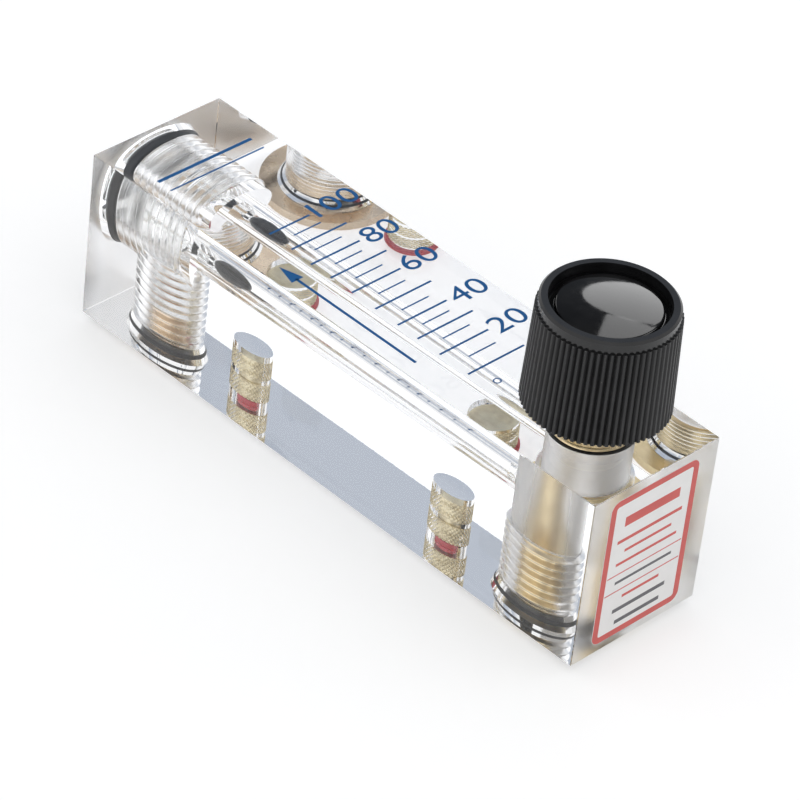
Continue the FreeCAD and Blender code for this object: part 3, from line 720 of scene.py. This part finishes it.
@dataclass
class PortFitting(Fitting):
    """A brass port: a fitting with a flange and a tapped pipe thread."""

    pipe_radius: float = 4.25
    pipe_root: float = 4.85
    pipe_pitch: float = 0.941

    def tap(self, made: bpy.types.Object, end: float, matrix: Matrix) -> bpy.types.Object:
        """Cut the pipe thread from the flange up to a height."""
        cutter = tapped_cutter(self.pipe_pitch, self.pipe_radius, self.pipe_root, -FLANGE, end)
        return smooth(carve(made, [make_object(cutter, "pipe_thread", matrix)]))


@dataclass
class EndPlug(Fitting):
    """The clear plug of the outlet chamber, slotted for a screwdriver."""

    head: tuple[float, float, float] = (7.5, 0.1, 0.7)
    bevel: float = 0.1
    thread_end: float = 8.8
    nose: tuple[float, float] = (6.1, 9.8)
    socket: tuple[float, float] = (0.92, 6.8)
    slot: tuple[float, float] = (1.6, 1.9)

    def add(self, block: Block) -> None:
        """Build and dress the plug."""
        radius, end = self.nose
        socket, floor = self.socket
        corners = [*self.outline(0, self.thread_end), (radius, self.thread_end),
                   (radius, end), (socket, end), (socket, floor), (0, floor)]
        plug = self.build("end_plug_clear", corners, self.thread_end, block.end, closed=False)
        bm = bmesh.new()
        width, floor = self.slot
        reach = self.head[0] + OVERCUT
        add_box(bm, (-width / 2, -reach, -floor), (width / 2, reach, floor))
        plug = smooth(carve(plug, [make_object(bm, "plug_slot", block.end)]))
        finish_piece(plug, PLUG_CLEAR, "plug_acrylic", "end_plug")
        plug.data.materials.append(MACHINED.make())
        for face in plug.data.polygons:
            x, y, z = face.center / MM
            radius = math.hypot(y, z - FLANGE - block.tube_height)
            if THREAD.root - 0.1 < radius and x + block.length / 2 > self.gland[1]:
                face.material_index = 1


@dataclass
class OutletAdapter(PortFitting):
    """The brass bush of the outlet."""

    thread_end: float = 7.3

    def add(self, block: Block) -> None:
        """Build and dress the bush."""
        corners = [*self.outline(self.pipe_radius, self.thread_end), (self.pipe_radius, self.thread_end)]
        made = self.build("outlet_adapter_threaded", corners, self.thread_end, block.outlet)
        made = self.tap(made, self.thread_end + 2 * OVERCUT, block.outlet)
        finish_piece(made, ADAPTER_BRASS, "adapter_brass", "outlet_adapter")


@dataclass
class ValveBody(PortFitting):
    """The brass valve body: outer thread, column, guiding land and neck."""

    thread_end: float = 12.4
    column: float = 3.75
    land: tuple[float, float, float] = (6.3, 26.65, 27.55)
    neck: tuple[float, float] = (5.1, 33.2)
    stem_bore: tuple[float, float] = (4.0, 27.14)
    clip_groove: tuple[float, float, float] = (4.4, 30.18, 30.85)
    needle_bore: tuple[float, float] = (2.9, 11.2)
    passage: tuple[float, float] = (1.8, 8.0)
    flow_hole: tuple[float, float] = (1.1, 15.5)
    run_out: float = 1.0

    def add(self, block: Block) -> None:
        """Build and dress the valve body."""
        land, land_low, land_high = self.land
        neck, top = self.neck
        stem, shelf = self.stem_bore
        groove, groove_low, groove_high = self.clip_groove
        needle, floor = self.needle_bore
        passage, pipe_top = self.passage
        corners = [*self.outline(self.pipe_radius, self.thread_end), (self.column, self.thread_end),
                   (self.column, land_low), (land, land_low), (land, land_high), (neck, land_high),
                   (neck, top), (stem, top), (stem, groove_high), (groove, groove_high), (groove, groove_low),
                   (stem, groove_low), (stem, shelf), (needle, shelf), (needle, floor), (passage, floor),
                   (passage, pipe_top), (self.pipe_radius, pipe_top)]
        made = self.build("valve_body_threaded", corners, self.thread_end, block.inlet)
        reach = self.column + 2 * OVERCUT
        radius, height = self.flow_hole
        bm = turn_profile(pin(radius, -reach, reach), 32, closed=False)
        drill = make_object(bm, "flow_drill", frame_matrix((block.port_x, 0, height), Direction.ALONG_X))
        made = self.tap(carve(made, [drill]), pipe_top - self.run_out, block.inlet)
        finish_piece(made, VALVE_BRASS, "valve_brass", "valve_body")


# ---- seals

@dataclass
class PortSeals:
    """The O-rings of the three threaded holes, pressed flat against neck and sealing cone.

    Attributes:
        port: radius and depth of the cord's centre, and half its width and height, in a port.
        plug: the same in the plug's hole.
        neck: radius of the fitting's neck.
        bite: how far the rubber wets the cone.
    """

    port: tuple[float, float, float, float] = (6.75, 1.12, 1.08, 0.64)
    plug: tuple[float, float, float, float] = (6.68, 1.62, 0.95, 0.95)
    neck: float = 5.79
    bite: float = 0.03
    segments: int = 40

    def _outline(self, block: Block, section: tuple[float, float, float, float]) -> list[Corner]:
        """The squeezed section."""
        mouth, depth = block.mouth
        slope = (mouth - THREAD.crest) / depth
        centre, middle, across, along = section
        corners = []
        for step in range(self.segments):
            turn = FULL_TURN * step / self.segments
            height = middle + along * math.sin(turn)
            radius = centre + across * math.cos(turn)
            corners.append((min(max(radius, self.neck), mouth - slope * height + self.bite), height))
        return corners

    def add(self, block: Block) -> None:
        """Build and dress the three rings."""
        for name, section, matrix in (("outlet_o_ring", self.port, block.outlet),
                                      ("inlet_o_ring", self.port, block.inlet),
                                      ("plug_o_ring", self.plug, block.end)):
            made = make_object(turn_profile(self._outline(block, section)), f"{name}_squeezed", matrix)
            finish_piece(smooth(made, 40), SEAL, "seal_rubber", name)


# ---- bonnet nut

@dataclass
class BonnetNut:
    """The brass nut under the knob: a polished foot below a turned barrel."""

    bore: float = 5.15
    radius: float = 6.2
    barrel: float = 6.05
    low: float = 29.1
    foot: float = 29.75
    high: float = 31.4
    bevel: float = 0.12

    def add(self, block: Block) -> None:
        """Build and dress the nut."""
        edge = self.bevel
        corners = [(self.bore, self.low), (self.radius - edge, self.low), (self.radius, self.low + edge),
                   (self.radius, self.foot - edge), (self.radius - edge, self.foot), (self.barrel, self.foot),
                   (self.barrel, self.high - edge), (self.barrel - edge, self.high), (self.bore, self.high)]
        made = make_object(turn_profile(corners, 128), "bonnet_nut_turned", block.inlet)
        finish_piece(smooth(made), NUT_BRASS, "valve_brass", "bonnet_nut")


# ---- inserts

@dataclass
class PanelInserts:
    """The two brass panel inserts: two bands of diamond knurl with a groove between them."""

    radius: float = 3.9
    low: float = 1.2
    high: float = 8.6
    bore: float = 2.05
    bore_depth: float = 6.6
    thread_root: float = 2.4
    thread_pitch: float = 0.794
    run_out: float = 0.5
    groove_depth: float = 0.3
    groove_width: float = 0.9
    knurl_depth: float = 0.16
    knurl_count: int = 30
    rows: int = 26
    segments: int = 180
    washer: tuple[float, float, float] = (4.3, -0.48, -0.03)
    washer_bevel: float = 0.12
    sleeve: tuple[float, float, float] = (2.3, 3.5, 0.8)

    def _knurl(self, bm: bmesh.types.BMesh) -> None:
        """Press crossing helical grooves into the two bands."""
        slant = self.knurl_count / self.radius
        for vert in bm.verts:
            radius = math.hypot(vert.co.x, vert.co.y)
            if radius < self.radius - 0.01:
                continue
            turn = self.knurl_count * math.atan2(vert.co.y, vert.co.x)
            climb = slant * (vert.co.z - self.low)
            cut = max(math.cos(turn + climb), math.cos(turn - climb), 0.0) ** 2
            shrink = 1 - self.knurl_depth * cut / self.radius
            vert.co.x *= shrink
            vert.co.y *= shrink

    def _build(self, name: str, x: float) -> bpy.types.Object:
        """One insert."""
        middle = (self.low + self.high) / 2
        groove = self.radius - self.groove_depth
        bands = [(self.low, middle - self.groove_width / 2), (middle + self.groove_width / 2, self.high)]
        rows = [[(self.radius, low + (high - low) * step / self.rows) for step in range(self.rows + 1)]
                for low, high in bands]
        floor = self.low + self.bore_depth
        corners = [(self.bore, self.low), *rows[0], (groove, bands[0][1]), (groove, bands[1][0]), *rows[1],
                   (0, self.high), (0, floor), (self.bore, floor)]
        bm = turn_profile(corners, self.segments)
        self._knurl(bm)
        matrix = frame_matrix((x, 0, 0))
        cutter = tapped_cutter(self.thread_pitch, self.bore, self.thread_root, self.low, floor - self.run_out)
        made = make_object(bm, name, matrix)
        return smooth(carve(made, [make_object(cutter, "screw_thread", matrix)]), 50)

    def _ring(self, name: str, x: float) -> bpy.types.Object:
        """One red ring, with its washer outside the back face."""
        radius, low, high = self.washer
        bore, sleeve, reach = self.sleeve
        bevel = self.washer_bevel
        corners = [(bore, low), (radius - bevel, low), (radius, low + bevel), (radius, high), (sleeve, high),
                   (sleeve, reach), (bore, reach)]
        return smooth(make_object(turn_profile(corners), name, frame_matrix((x, 0, 0))))

    def add(self, block: Block) -> None:
        """Build and dress both inserts and their rings."""
        for side, sign in (("outlet", -1), ("inlet", 1)):
            made = self._build(f"{side}_side_insert_knurled", sign * block.insert_x)
            finish_piece(made, INSERT_BRASS, "insert_brass", f"{side}_side_insert")
            made = self._ring(f"{side}_side_ring_moulded", sign * block.insert_x)
            finish_piece(made, RED_FIBRE, "red_ring", f"{side}_side_ring")


# ---- knob cap

@dataclass
class KnobCap:
    """The glossy cap: a shallow lens with a rounded rim above a sunk border."""

    floor: float = 48.42
    radius: float = 8.3
    border: tuple[float, float, float] = (7.85, 49.2, 49.42)
    lens: float = 7.75
    fillet: float = 0.42
    fillet_turn: float = 82.0
    fillet_steps: int = 8
    crown: float = 50.52
    rise: float = 0.6
    steps: int = 24

    def _outline(self) -> list[Corner]:
        """Corners from the underside round the border and over the lens."""
        foot, outer, inner = self.border
        sphere = (self.lens**2 + self.rise**2) / (2 * self.rise)
        centre = self.crown - sphere
        edge = self.lens - self.fillet
        rest = math.sqrt(sphere**2 - edge**2) + centre - self.fillet
        corners = [(0, self.floor), (self.radius, self.floor), (self.radius, outer), (foot, inner),
                   (self.lens, inner)]
        for step in range(self.fillet_steps + 1):
            turn = math.radians(self.fillet_turn) * step / self.fillet_steps
            corners.append((edge + self.fillet * math.cos(turn), rest + self.fillet * math.sin(turn)))
        for step in range(1, self.steps):
            radius = edge * (1 - step / self.steps)
            corners.append((radius, centre + math.sqrt(sphere**2 - radius**2)))
        return [*corners, (0, self.crown)]

    def add(self, block: Block) -> bpy.types.Object:
        """Build and dress the cap."""
        bm = turn_profile(self._outline(), 128, closed=False)
        made = smooth(make_object(bm, "knob_cap_lens", block.inlet), 35)
        return finish_piece(made, CAP_BLACK, "cap_plastic", "knob_cap", body=Body.KNOB)


# ---- float

@dataclass
class Float:
    """The polished black float at rest on its stop."""

    length: float = 7.5
    radius: float = 2.4
    centre_x: float = -27.45

    def add(self, block: Block) -> None:
        """Build and dress the float."""
        bm = bmesh.new()
        bmesh.ops.create_uvsphere(bm, u_segments=64, v_segments=48, radius=1.0)
        bmesh.ops.scale(bm, vec=(self.radius, self.radius, self.length / 2), verts=bm.verts)
        matrix = frame_matrix((self.centre_x, 0, block.tube_height), Direction.ALONG_X)
        made = smooth(make_object(bm, "float_polished", matrix), 60)
        finish_piece(made, FLOAT_GLASS, "float_black", "float", body=Body.FLOAT)


# ---- print

@dataclass
class Scale:
    """The blue print of the scale face: ticks, numbers, zero ring and two plain marks.

    Attributes:
        top: height of the scale face.
        lift: of the ink above the face, and sink is its part below.
        bold: width of a long tick, and fine of a short one.
        tens: place and reach of each long tick.
        fives: places of the short ticks, which all have the reach five_reach.
        numbers: text, place of its feet and of its first digit.
        zero: place of the ring at the foot of the scale.
        zero_ring: its inner and outer radius, and how much longer than wide it is.
        rules: edges of the double rule, which crosses the face over rule_reach.
        arrow_shaft: its edges along and across the face.
        arrow_head: its centre along and across the face, length and half width.
    """

    top: float = 29.0
    lift: float = 0.012
    sink: float = 0.01
    bold: float = 0.36
    fine: float = 0.27
    tens: tuple[tuple[float, float, float], ...] = (
        (-21.6, -5.3, 2.8), (-16.9, -5.3, 5.85), (-12.5, -5.55, 4.33), (-8.4, -5.5, 5.8),
        (-3.95, -5.5, 4.34), (0.93, -5.5, 5.8), (5.66, -5.6, 4.3), (9.72, -5.6, 5.6),
        (14.3, -5.66, 4.2), (20.05, -5.66, 5.7))
    fives: tuple[float, ...] = (-19.25, -14.8, -10.5, -6.2, -1.46, 3.4, 7.67, 11.85, 17.14)
    five_reach: tuple[float, float] = (-2.6, 2.85)
    numbers: tuple[tuple[str, float, float], ...] = (
        ("100", -20.15, 3.6), ("80", -10.85, 5.25), ("60", -2.45, 5.05), ("40", 7.55, 5.2), ("20", 16.15, 4.9))
    number_height: float = 3.6
    number_width: float = 1.33
    zero: tuple[float, float] = (23.65, -3.36)
    zero_ring: tuple[float, float, float] = (0.4, 0.62, 1.15)
    rules: tuple[tuple[float, float], ...] = ((-41.4, -40.8), (-38.5, -38.2))
    rule_reach: tuple[float, float] = (-9.6, 9.2)
    arrow_shaft: tuple[tuple[float, float], tuple[float, float]] = ((-11.2, 13.6), (-9.95, -9.45))
    arrow_head: tuple[float, float, float, float] = (-12.2, -9.7, 2.6, 1.35)

    def _bar(self, bm: bmesh.types.BMesh, x: tuple[float, float], y: tuple[float, float]) -> None:
        """Add a flat bar of ink between two pairs of edges."""
        add_box(bm, (x[0], y[0], self.top - self.sink), (x[1], y[1], self.top + self.lift))

    def _ticks(self) -> None:
        """The long and short marks of the scale."""
        bm = bmesh.new()
        for x, low, high in self.tens:
            self._bar(bm, (x - self.bold / 2, x + self.bold / 2), (low, high))
        for x in self.fives:
            self._bar(bm, (x - self.fine / 2, x + self.fine / 2), self.five_reach)
        finish_piece(make_object(bm, "scale_ticks"), BLUE_INK)

    def _number(self, text: str, base_x: float, start_y: float) -> None:
        """One number, which reads along +Y with its feet towards +X."""
        curve = bpy.data.curves.new(f"number_{text}", "FONT")
        curve.body = text
        curve.extrude = 0.5
        writing = bpy.data.objects.new(f"number_{text}_writing", curve)
        bpy.context.scene.collection.objects.link(writing)
        evaluated = writing.evaluated_get(bpy.context.evaluated_depsgraph_get())
        bm = bmesh.new()
        bm.from_mesh(bpy.data.meshes.new_from_object(evaluated))
        bpy.data.objects.remove(writing)
        bmesh.ops.remove_doubles(bm, verts=bm.verts, dist=1e-4)
        low = Vector((min(v.co.x for v in bm.verts), min(v.co.y for v in bm.verts), -0.5))
        tall = max(v.co.y for v in bm.verts) - low.y
        grow = self.number_height / tall
        thick = self.lift + self.sink
        matrix = (Matrix.Translation((base_x, start_y, self.top - self.sink))
                  @ Matrix.Rotation(math.radians(90), 4, "Z")
                  @ Matrix.Diagonal((grow * self.number_width, grow, thick, 1)) @ Matrix.Translation(-low))
        finish_piece(make_object(bm, f"number_{text}", matrix), BLUE_INK)

    def _zero_ring(self) -> None:
        """The small ring that marks the foot of the scale."""
        thick = self.lift + self.sink
        inner, outer, stretch = self.zero_ring
        bm = turn_profile([(inner, 0), (outer, 0), (outer, thick), (inner, thick)], 40)
        bmesh.ops.scale(bm, vec=(1.0, stretch, 1.0), verts=bm.verts)
        matrix = frame_matrix((*self.zero, self.top - self.sink))
        finish_piece(make_object(bm, "zero_ring", matrix), BLUE_INK)

    def _marks(self) -> None:
        """A plain double rule across the outlet end, and a flow arrow beside the scale."""
        bm = bmesh.new()
        for edges in self.rules:
            self._bar(bm, edges, self.rule_reach)
        finish_piece(make_object(bm, "outlet_rules"), BLUE_INK)
        bm = bmesh.new()
        self._bar(bm, *self.arrow_shaft)
        x, y, length, half = self.arrow_head
        head = bmesh.ops.create_cone(bm, cap_ends=True, segments=3, radius1=1.0, radius2=1.0,
                                     depth=self.lift + self.sink)["verts"]
        bmesh.ops.rotate(bm, verts=head, matrix=Matrix.Rotation(math.radians(90), 3, "Z"))
        bmesh.ops.scale(bm, vec=(length, half, 1), verts=head)
        bmesh.ops.translate(bm, verts=head, vec=(x, y, self.top + (self.lift - self.sink) / 2))
        finish_piece(make_object(bm, "flow_arrow"), BLUE_INK)

    def add(self) -> None:
        """Build all the print of the scale face."""
        self._ticks()
        for text, base_x, start_y in self.numbers:
            self._number(text, base_x, start_y)
        self._zero_ring()
        self._marks()


# ---- label

@dataclass
class EndLabel:
    """The label on the inlet end: white film, red frame and plain rows of colour."""

    face_x: float = 52.0
    width: float = 17.9
    low: float = 1.5
    high: float = 27.4
    thick: float = 0.09
    step: float = 0.01
    frame_sink: float = 0.008
    corner: float = 1.6
    frame_width: float = 1.1
    margin: float = 0.04
    rows: tuple[tuple[str, float, float, float, float], ...] = (
        ("red", 21.9, 23.6, -5.6, 5.6), ("red", 19.1, 19.7, -6.6, 6.6), ("red", 17.0, 17.5, -4.8, 4.8),
        ("red", 14.9, 15.4, -6.2, 6.2), ("red", 13.1, 13.3, -7.6, 7.6), ("grey", 11.4, 11.9, -5.8, 5.8),
        ("red", 9.9, 10.1, -7.6, 7.6), ("red", 8.2, 8.7, -3.8, 3.8), ("grey", 5.9, 6.6, -5.4, 5.4),
        ("grey", 3.6, 4.3, -4.6, 4.6))

    def _card(self, inset: float, depth: float) -> bmesh.types.BMesh:
        """A card with round corners, standing in the YZ plane from x 0."""
        bm = bmesh.new()
        half = self.width / 2 - inset
        add_box(bm, (0, -half, self.low + inset), (depth, half, self.high - inset))
        upright = [edge for edge in bm.edges if abs(edge.verts[0].co.x - edge.verts[1].co.x) > depth / 2]
        bmesh.ops.bevel(bm, geom=upright, offset=self.corner - inset, segments=8, affect="EDGES",
                        profile=0.5, material=-1)
        return bm

    def add(self) -> None:
        """Build the film, its frame and its rows."""
        sunk = frame_matrix((self.face_x - self.step, 0, 0))
        film = make_object(self._card(0, self.thick), "label_film", sunk)
        finish_piece(film, LABEL_WHITE, "label_film", "end_label")
        face = frame_matrix((self.face_x + self.step, 0, 0))
        border = make_object(self._card(self.margin, self.thick - self.frame_sink), "label_border", face)
        window = make_object(self._card(self.margin + self.frame_width, 2 * OVERCUT), "label_window",
                             frame_matrix((self.face_x - OVERCUT, 0, 0)))
        finish_piece(carve(border, [window]), LABEL_RED, "label_film")
        for colour, finish in (("red", LABEL_RED), ("grey", LABEL_GREY)):
            bm = bmesh.new()
            for tint, low, high, left, right in self.rows:
                if tint == colour:
                    add_box(bm, (0, left, low), (self.thick - self.step, right, high))
            finish_piece(make_object(bm, f"label_rows_{colour}", face), finish, "label_film")


# ---- carried-over CAD

@dataclass(frozen=True)
class CarriedNodes:
    """The CAD nodes that stay as they are, each with its finish."""

    finishes: tuple[tuple[Finish, tuple[str, ...]], ...] = (
        (SEAL, ("front_o_ring", "stem_o_ring")),
        (STOP_CLEAR, ("outlet_float_stop", "inlet_float_stop")),
        (SEAT, ("valve_seat",)),
        (STEEL, ("guide_pin", "stem_retaining_clip", "knob_screw")),
        (NEEDLE_STEEL, ("needle",)),
        (VALVE_BRASS, ("valve_stem",)),
        (KNOB_BLACK, ("knob",)),
    )

    def dress(self) -> None:
        """Assign each node's finish to its material slots."""
        for finish, names in self.finishes:
            material = finish.make()
            for name in names:
                node = NODES[name]
                if not node.material_slots:
                    node.data.materials.append(material)
                for slot in node.material_slots:
                    slot.material = material
                LOG.info("%s carried over", name)


# ---- studio

@dataclass(frozen=True)
class Softbox:
    """A softbox that only the knob's black cap sees.

    Attributes:
        name: of the lamp.
        shape: of the lamp.
        turn: to the right of the camera's heading, in degrees.
        rise: above the level, in degrees.
        size: width and height, in metres.
        strength: its brightness, where white is 1.
    """

    name: str
    shape: str
    turn: float
    rise: float
    size: tuple[float, float]
    strength: float

    def add(self, heading: float, target: Vector, seen_by: bpy.types.Collection, distance: float) -> None:
        """Hang the softbox so that it faces the target."""
        turn, rise = math.radians(heading - self.turn), math.radians(self.rise)
        away = Vector((-math.sin(turn) * math.cos(rise), math.cos(turn) * math.cos(rise), math.sin(rise)))
        data = bpy.data.lights.new(self.name, "AREA")
        data.shape = self.shape
        data.size, data.size_y = self.size
        fill = math.pi / 4 if self.shape == "ELLIPSE" else 1.0
        data.energy = self.strength * math.pi * fill * data.size * data.size_y
        lamp = bpy.data.objects.new(self.name, data)
        lamp.matrix_world = (Matrix.Translation(target + away * distance)
                             @ away.to_track_quat("Z", "Y").to_matrix().to_4x4())
        bpy.context.scene.collection.objects.link(lamp)
        lamp.light_linking.receiver_collection = seen_by


@dataclass
class Studio:
    """Camera, world, softboxes and floor.

    Attributes:
        shift: of the camera, to its right and up.
        floor_glow: light that the floor adds where it is seen, also through glass or in a mirror.
        sky: its plain colour.
        zone: colour of the darker zone ahead of the camera.
        zone_foot: heights over which the zone starts, where 1 is straight up.
        zone_top: heights over which it ends.
        zone_front: how far ahead it starts, where 1 is straight ahead.
    """

    azimuth: float = 41.4877
    elevation: float = 37.3727
    roll: float = 6.9812
    distance: float = 735.836
    shift: tuple[float, float] = (3.0804, 7.3119)
    lens: float = 224.04
    sensor: float = 36.0
    floor_size: float = 6000.0
    floor_drop: float = 0.05
    floor_glow: float = 0.33
    sky: Colour = (0.96, 0.96, 0.96)
    zone: Colour = (0.44, 0.485, 0.56)
    zone_foot: tuple[float, float] = (0.28, 0.42)
    zone_top: tuple[float, float] = (0.72, 0.85)
    zone_front: tuple[float, float] = (0.2, 0.5)
    cap_top: tuple[float, float, float] = (39.1, 0, 50.5)
    box_distance: float = 0.6
    boxes: tuple[Softbox, ...] = (
        Softbox("round_softbox", "ELLIPSE", 9.0, 32.2, (0.235, 0.225), 12.8),
        Softbox("square_softbox", "RECTANGLE", 12.0, 50.65, (0.155, 0.17), 12.8),
        Softbox("left_softbox", "RECTANGLE", -39.0, 8.0, (0.42, 0.5), 12.0),
        Softbox("right_softbox", "RECTANGLE", 88.0, 30.0, (0.5, 0.5), 12.0))

    def add_camera(self) -> None:
        """Place the camera that looks down on the block's long side and its inlet end."""
        turn, rise, roll = (math.radians(v) for v in (self.azimuth, self.elevation, self.roll))
        back = Vector((math.sin(turn) * math.cos(rise), -math.cos(turn) * math.cos(rise), math.sin(rise)))
        level = Vector((math.cos(turn), math.sin(turn), 0))
        upright = back.cross(level)
        right = math.cos(roll) * level + math.sin(roll) * upright
        up = -math.sin(roll) * level + math.cos(roll) * upright
        place = LIFT @ (back * self.distance + right * self.shift[0] + up * self.shift[1]) * MM
        data = bpy.data.cameras.new("camera")
        data.lens, data.sensor_width, data.clip_end = self.lens, self.sensor, 20.0
        camera = bpy.data.objects.new("camera", data)
        camera.matrix_world = Matrix.Translation(place) @ Matrix((right, up, back)).transposed().to_4x4()
        bpy.context.scene.collection.objects.link(camera)
        bpy.context.scene.camera = camera

    def add_floor(self) -> None:
        """A pale floor that the camera sees as white, with the object's shadow."""
        bm = bmesh.new()
        bmesh.ops.create_grid(bm, x_segments=1, y_segments=1, size=self.floor_size / 2)
        floor = make_object(bm, "floor", frame_matrix((0, 0, -FLANGE - self.floor_drop)), outward=False)
        paint = Paint("floor_white")
        rays = paint.node("ShaderNodeLightPath")
        paint.set(Base_Color=(0.8, 0.8, 0.8), Roughness=0.6, Specular_IOR_Level=0.2,
                  Emission_Color=(1.0, 1.0, 1.0))
        shown = (paint.value(rays, "Is Camera Ray") + paint.value(rays, "Is Glossy Ray")
                 + paint.value(rays, "Is Transmission Ray"))
        paint.feed(paint.shader.inputs["Emission Strength"], self.floor_glow * shown)
        floor.data.materials.append(paint.material)

    def add_world(self) -> None:
        """A plain soft sky: white, with a blue-grey zone beyond the block and a bright top."""
        world = bpy.data.worlds.new("studio")
        bpy.context.scene.world = world
        world.use_nodes = True
        sky = Tree(world.node_tree)
        world.node_tree.nodes.clear()
        direction = sky.node("ShaderNodeTexCoord").outputs["Generated"]
        split = sky.node("ShaderNodeSeparateXYZ", None, {0: direction})
        x, y, z = (sky.value(split, axis) for axis in ("X", "Y", "Z"))
        turn = math.radians(self.azimuth)
        ahead = y * math.cos(turn) - x * math.sin(turn)
        zone = z.ramp(*self.zone_foot) * (1.0 - z.ramp(*self.zone_top)) * ahead.ramp(*self.zone_front)
        tone = sky.mix(zone, self.sky, self.zone)
        rays = sky.node("ShaderNodeLightPath")
        final = sky.mix(sky.value(rays, "Is Camera Ray"), tone, (1.0, 1.0, 1.0))
        background = sky.node("ShaderNodeBackground", None, {"Color": final, "Strength": 1.0})
        output = sky.node("ShaderNodeOutputWorld")
        sky.feed(output.inputs["Surface"], background.outputs[0])

    def add_softboxes(self, cap: bpy.types.Object) -> None:
        """Hang the softboxes round the knob's cap."""
        seen_by = bpy.data.collections.new("softbox_lights")
        seen_by.objects.link(cap)
        target = LIFT @ Vector(self.cap_top) * MM
        for box in self.boxes:
            box.add(self.azimuth, target, seen_by, self.box_distance)

    def set_render(self) -> None:
        """Plain colour and enough bounces for clear acrylic."""
        scene = bpy.context.scene
        scene.view_settings.view_transform = "Standard"
        cycles = scene.cycles
        cycles.max_bounces = 32
        cycles.transmission_bounces = 32
        cycles.glossy_bounces = 16
        cycles.diffuse_bounces = 3
        cycles.transparent_max_bounces = 8

    def add(self, cap: bpy.types.Object) -> None:
        """Set everything up."""
        self.add_camera()
        self.add_floor()
        self.add_world()
        self.add_softboxes(cap)
        self.set_render()


def main() -> None:
    """Build the object's pieces in order, then the studio."""
    block = Block()
    block.add()
    EndPlug().add(block)
    OutletAdapter().add(block)
    ValveBody().add(block)
    PortSeals().add(block)
    BonnetNut().add(block)
    PanelInserts().add(block)
    cap = KnobCap().add(block)
    Float().add(block)
    Scale().add()
    EndLabel().add()
    CarriedNodes().dress()
    Studio().add(cap)


if __name__ == "__main__":
    main()
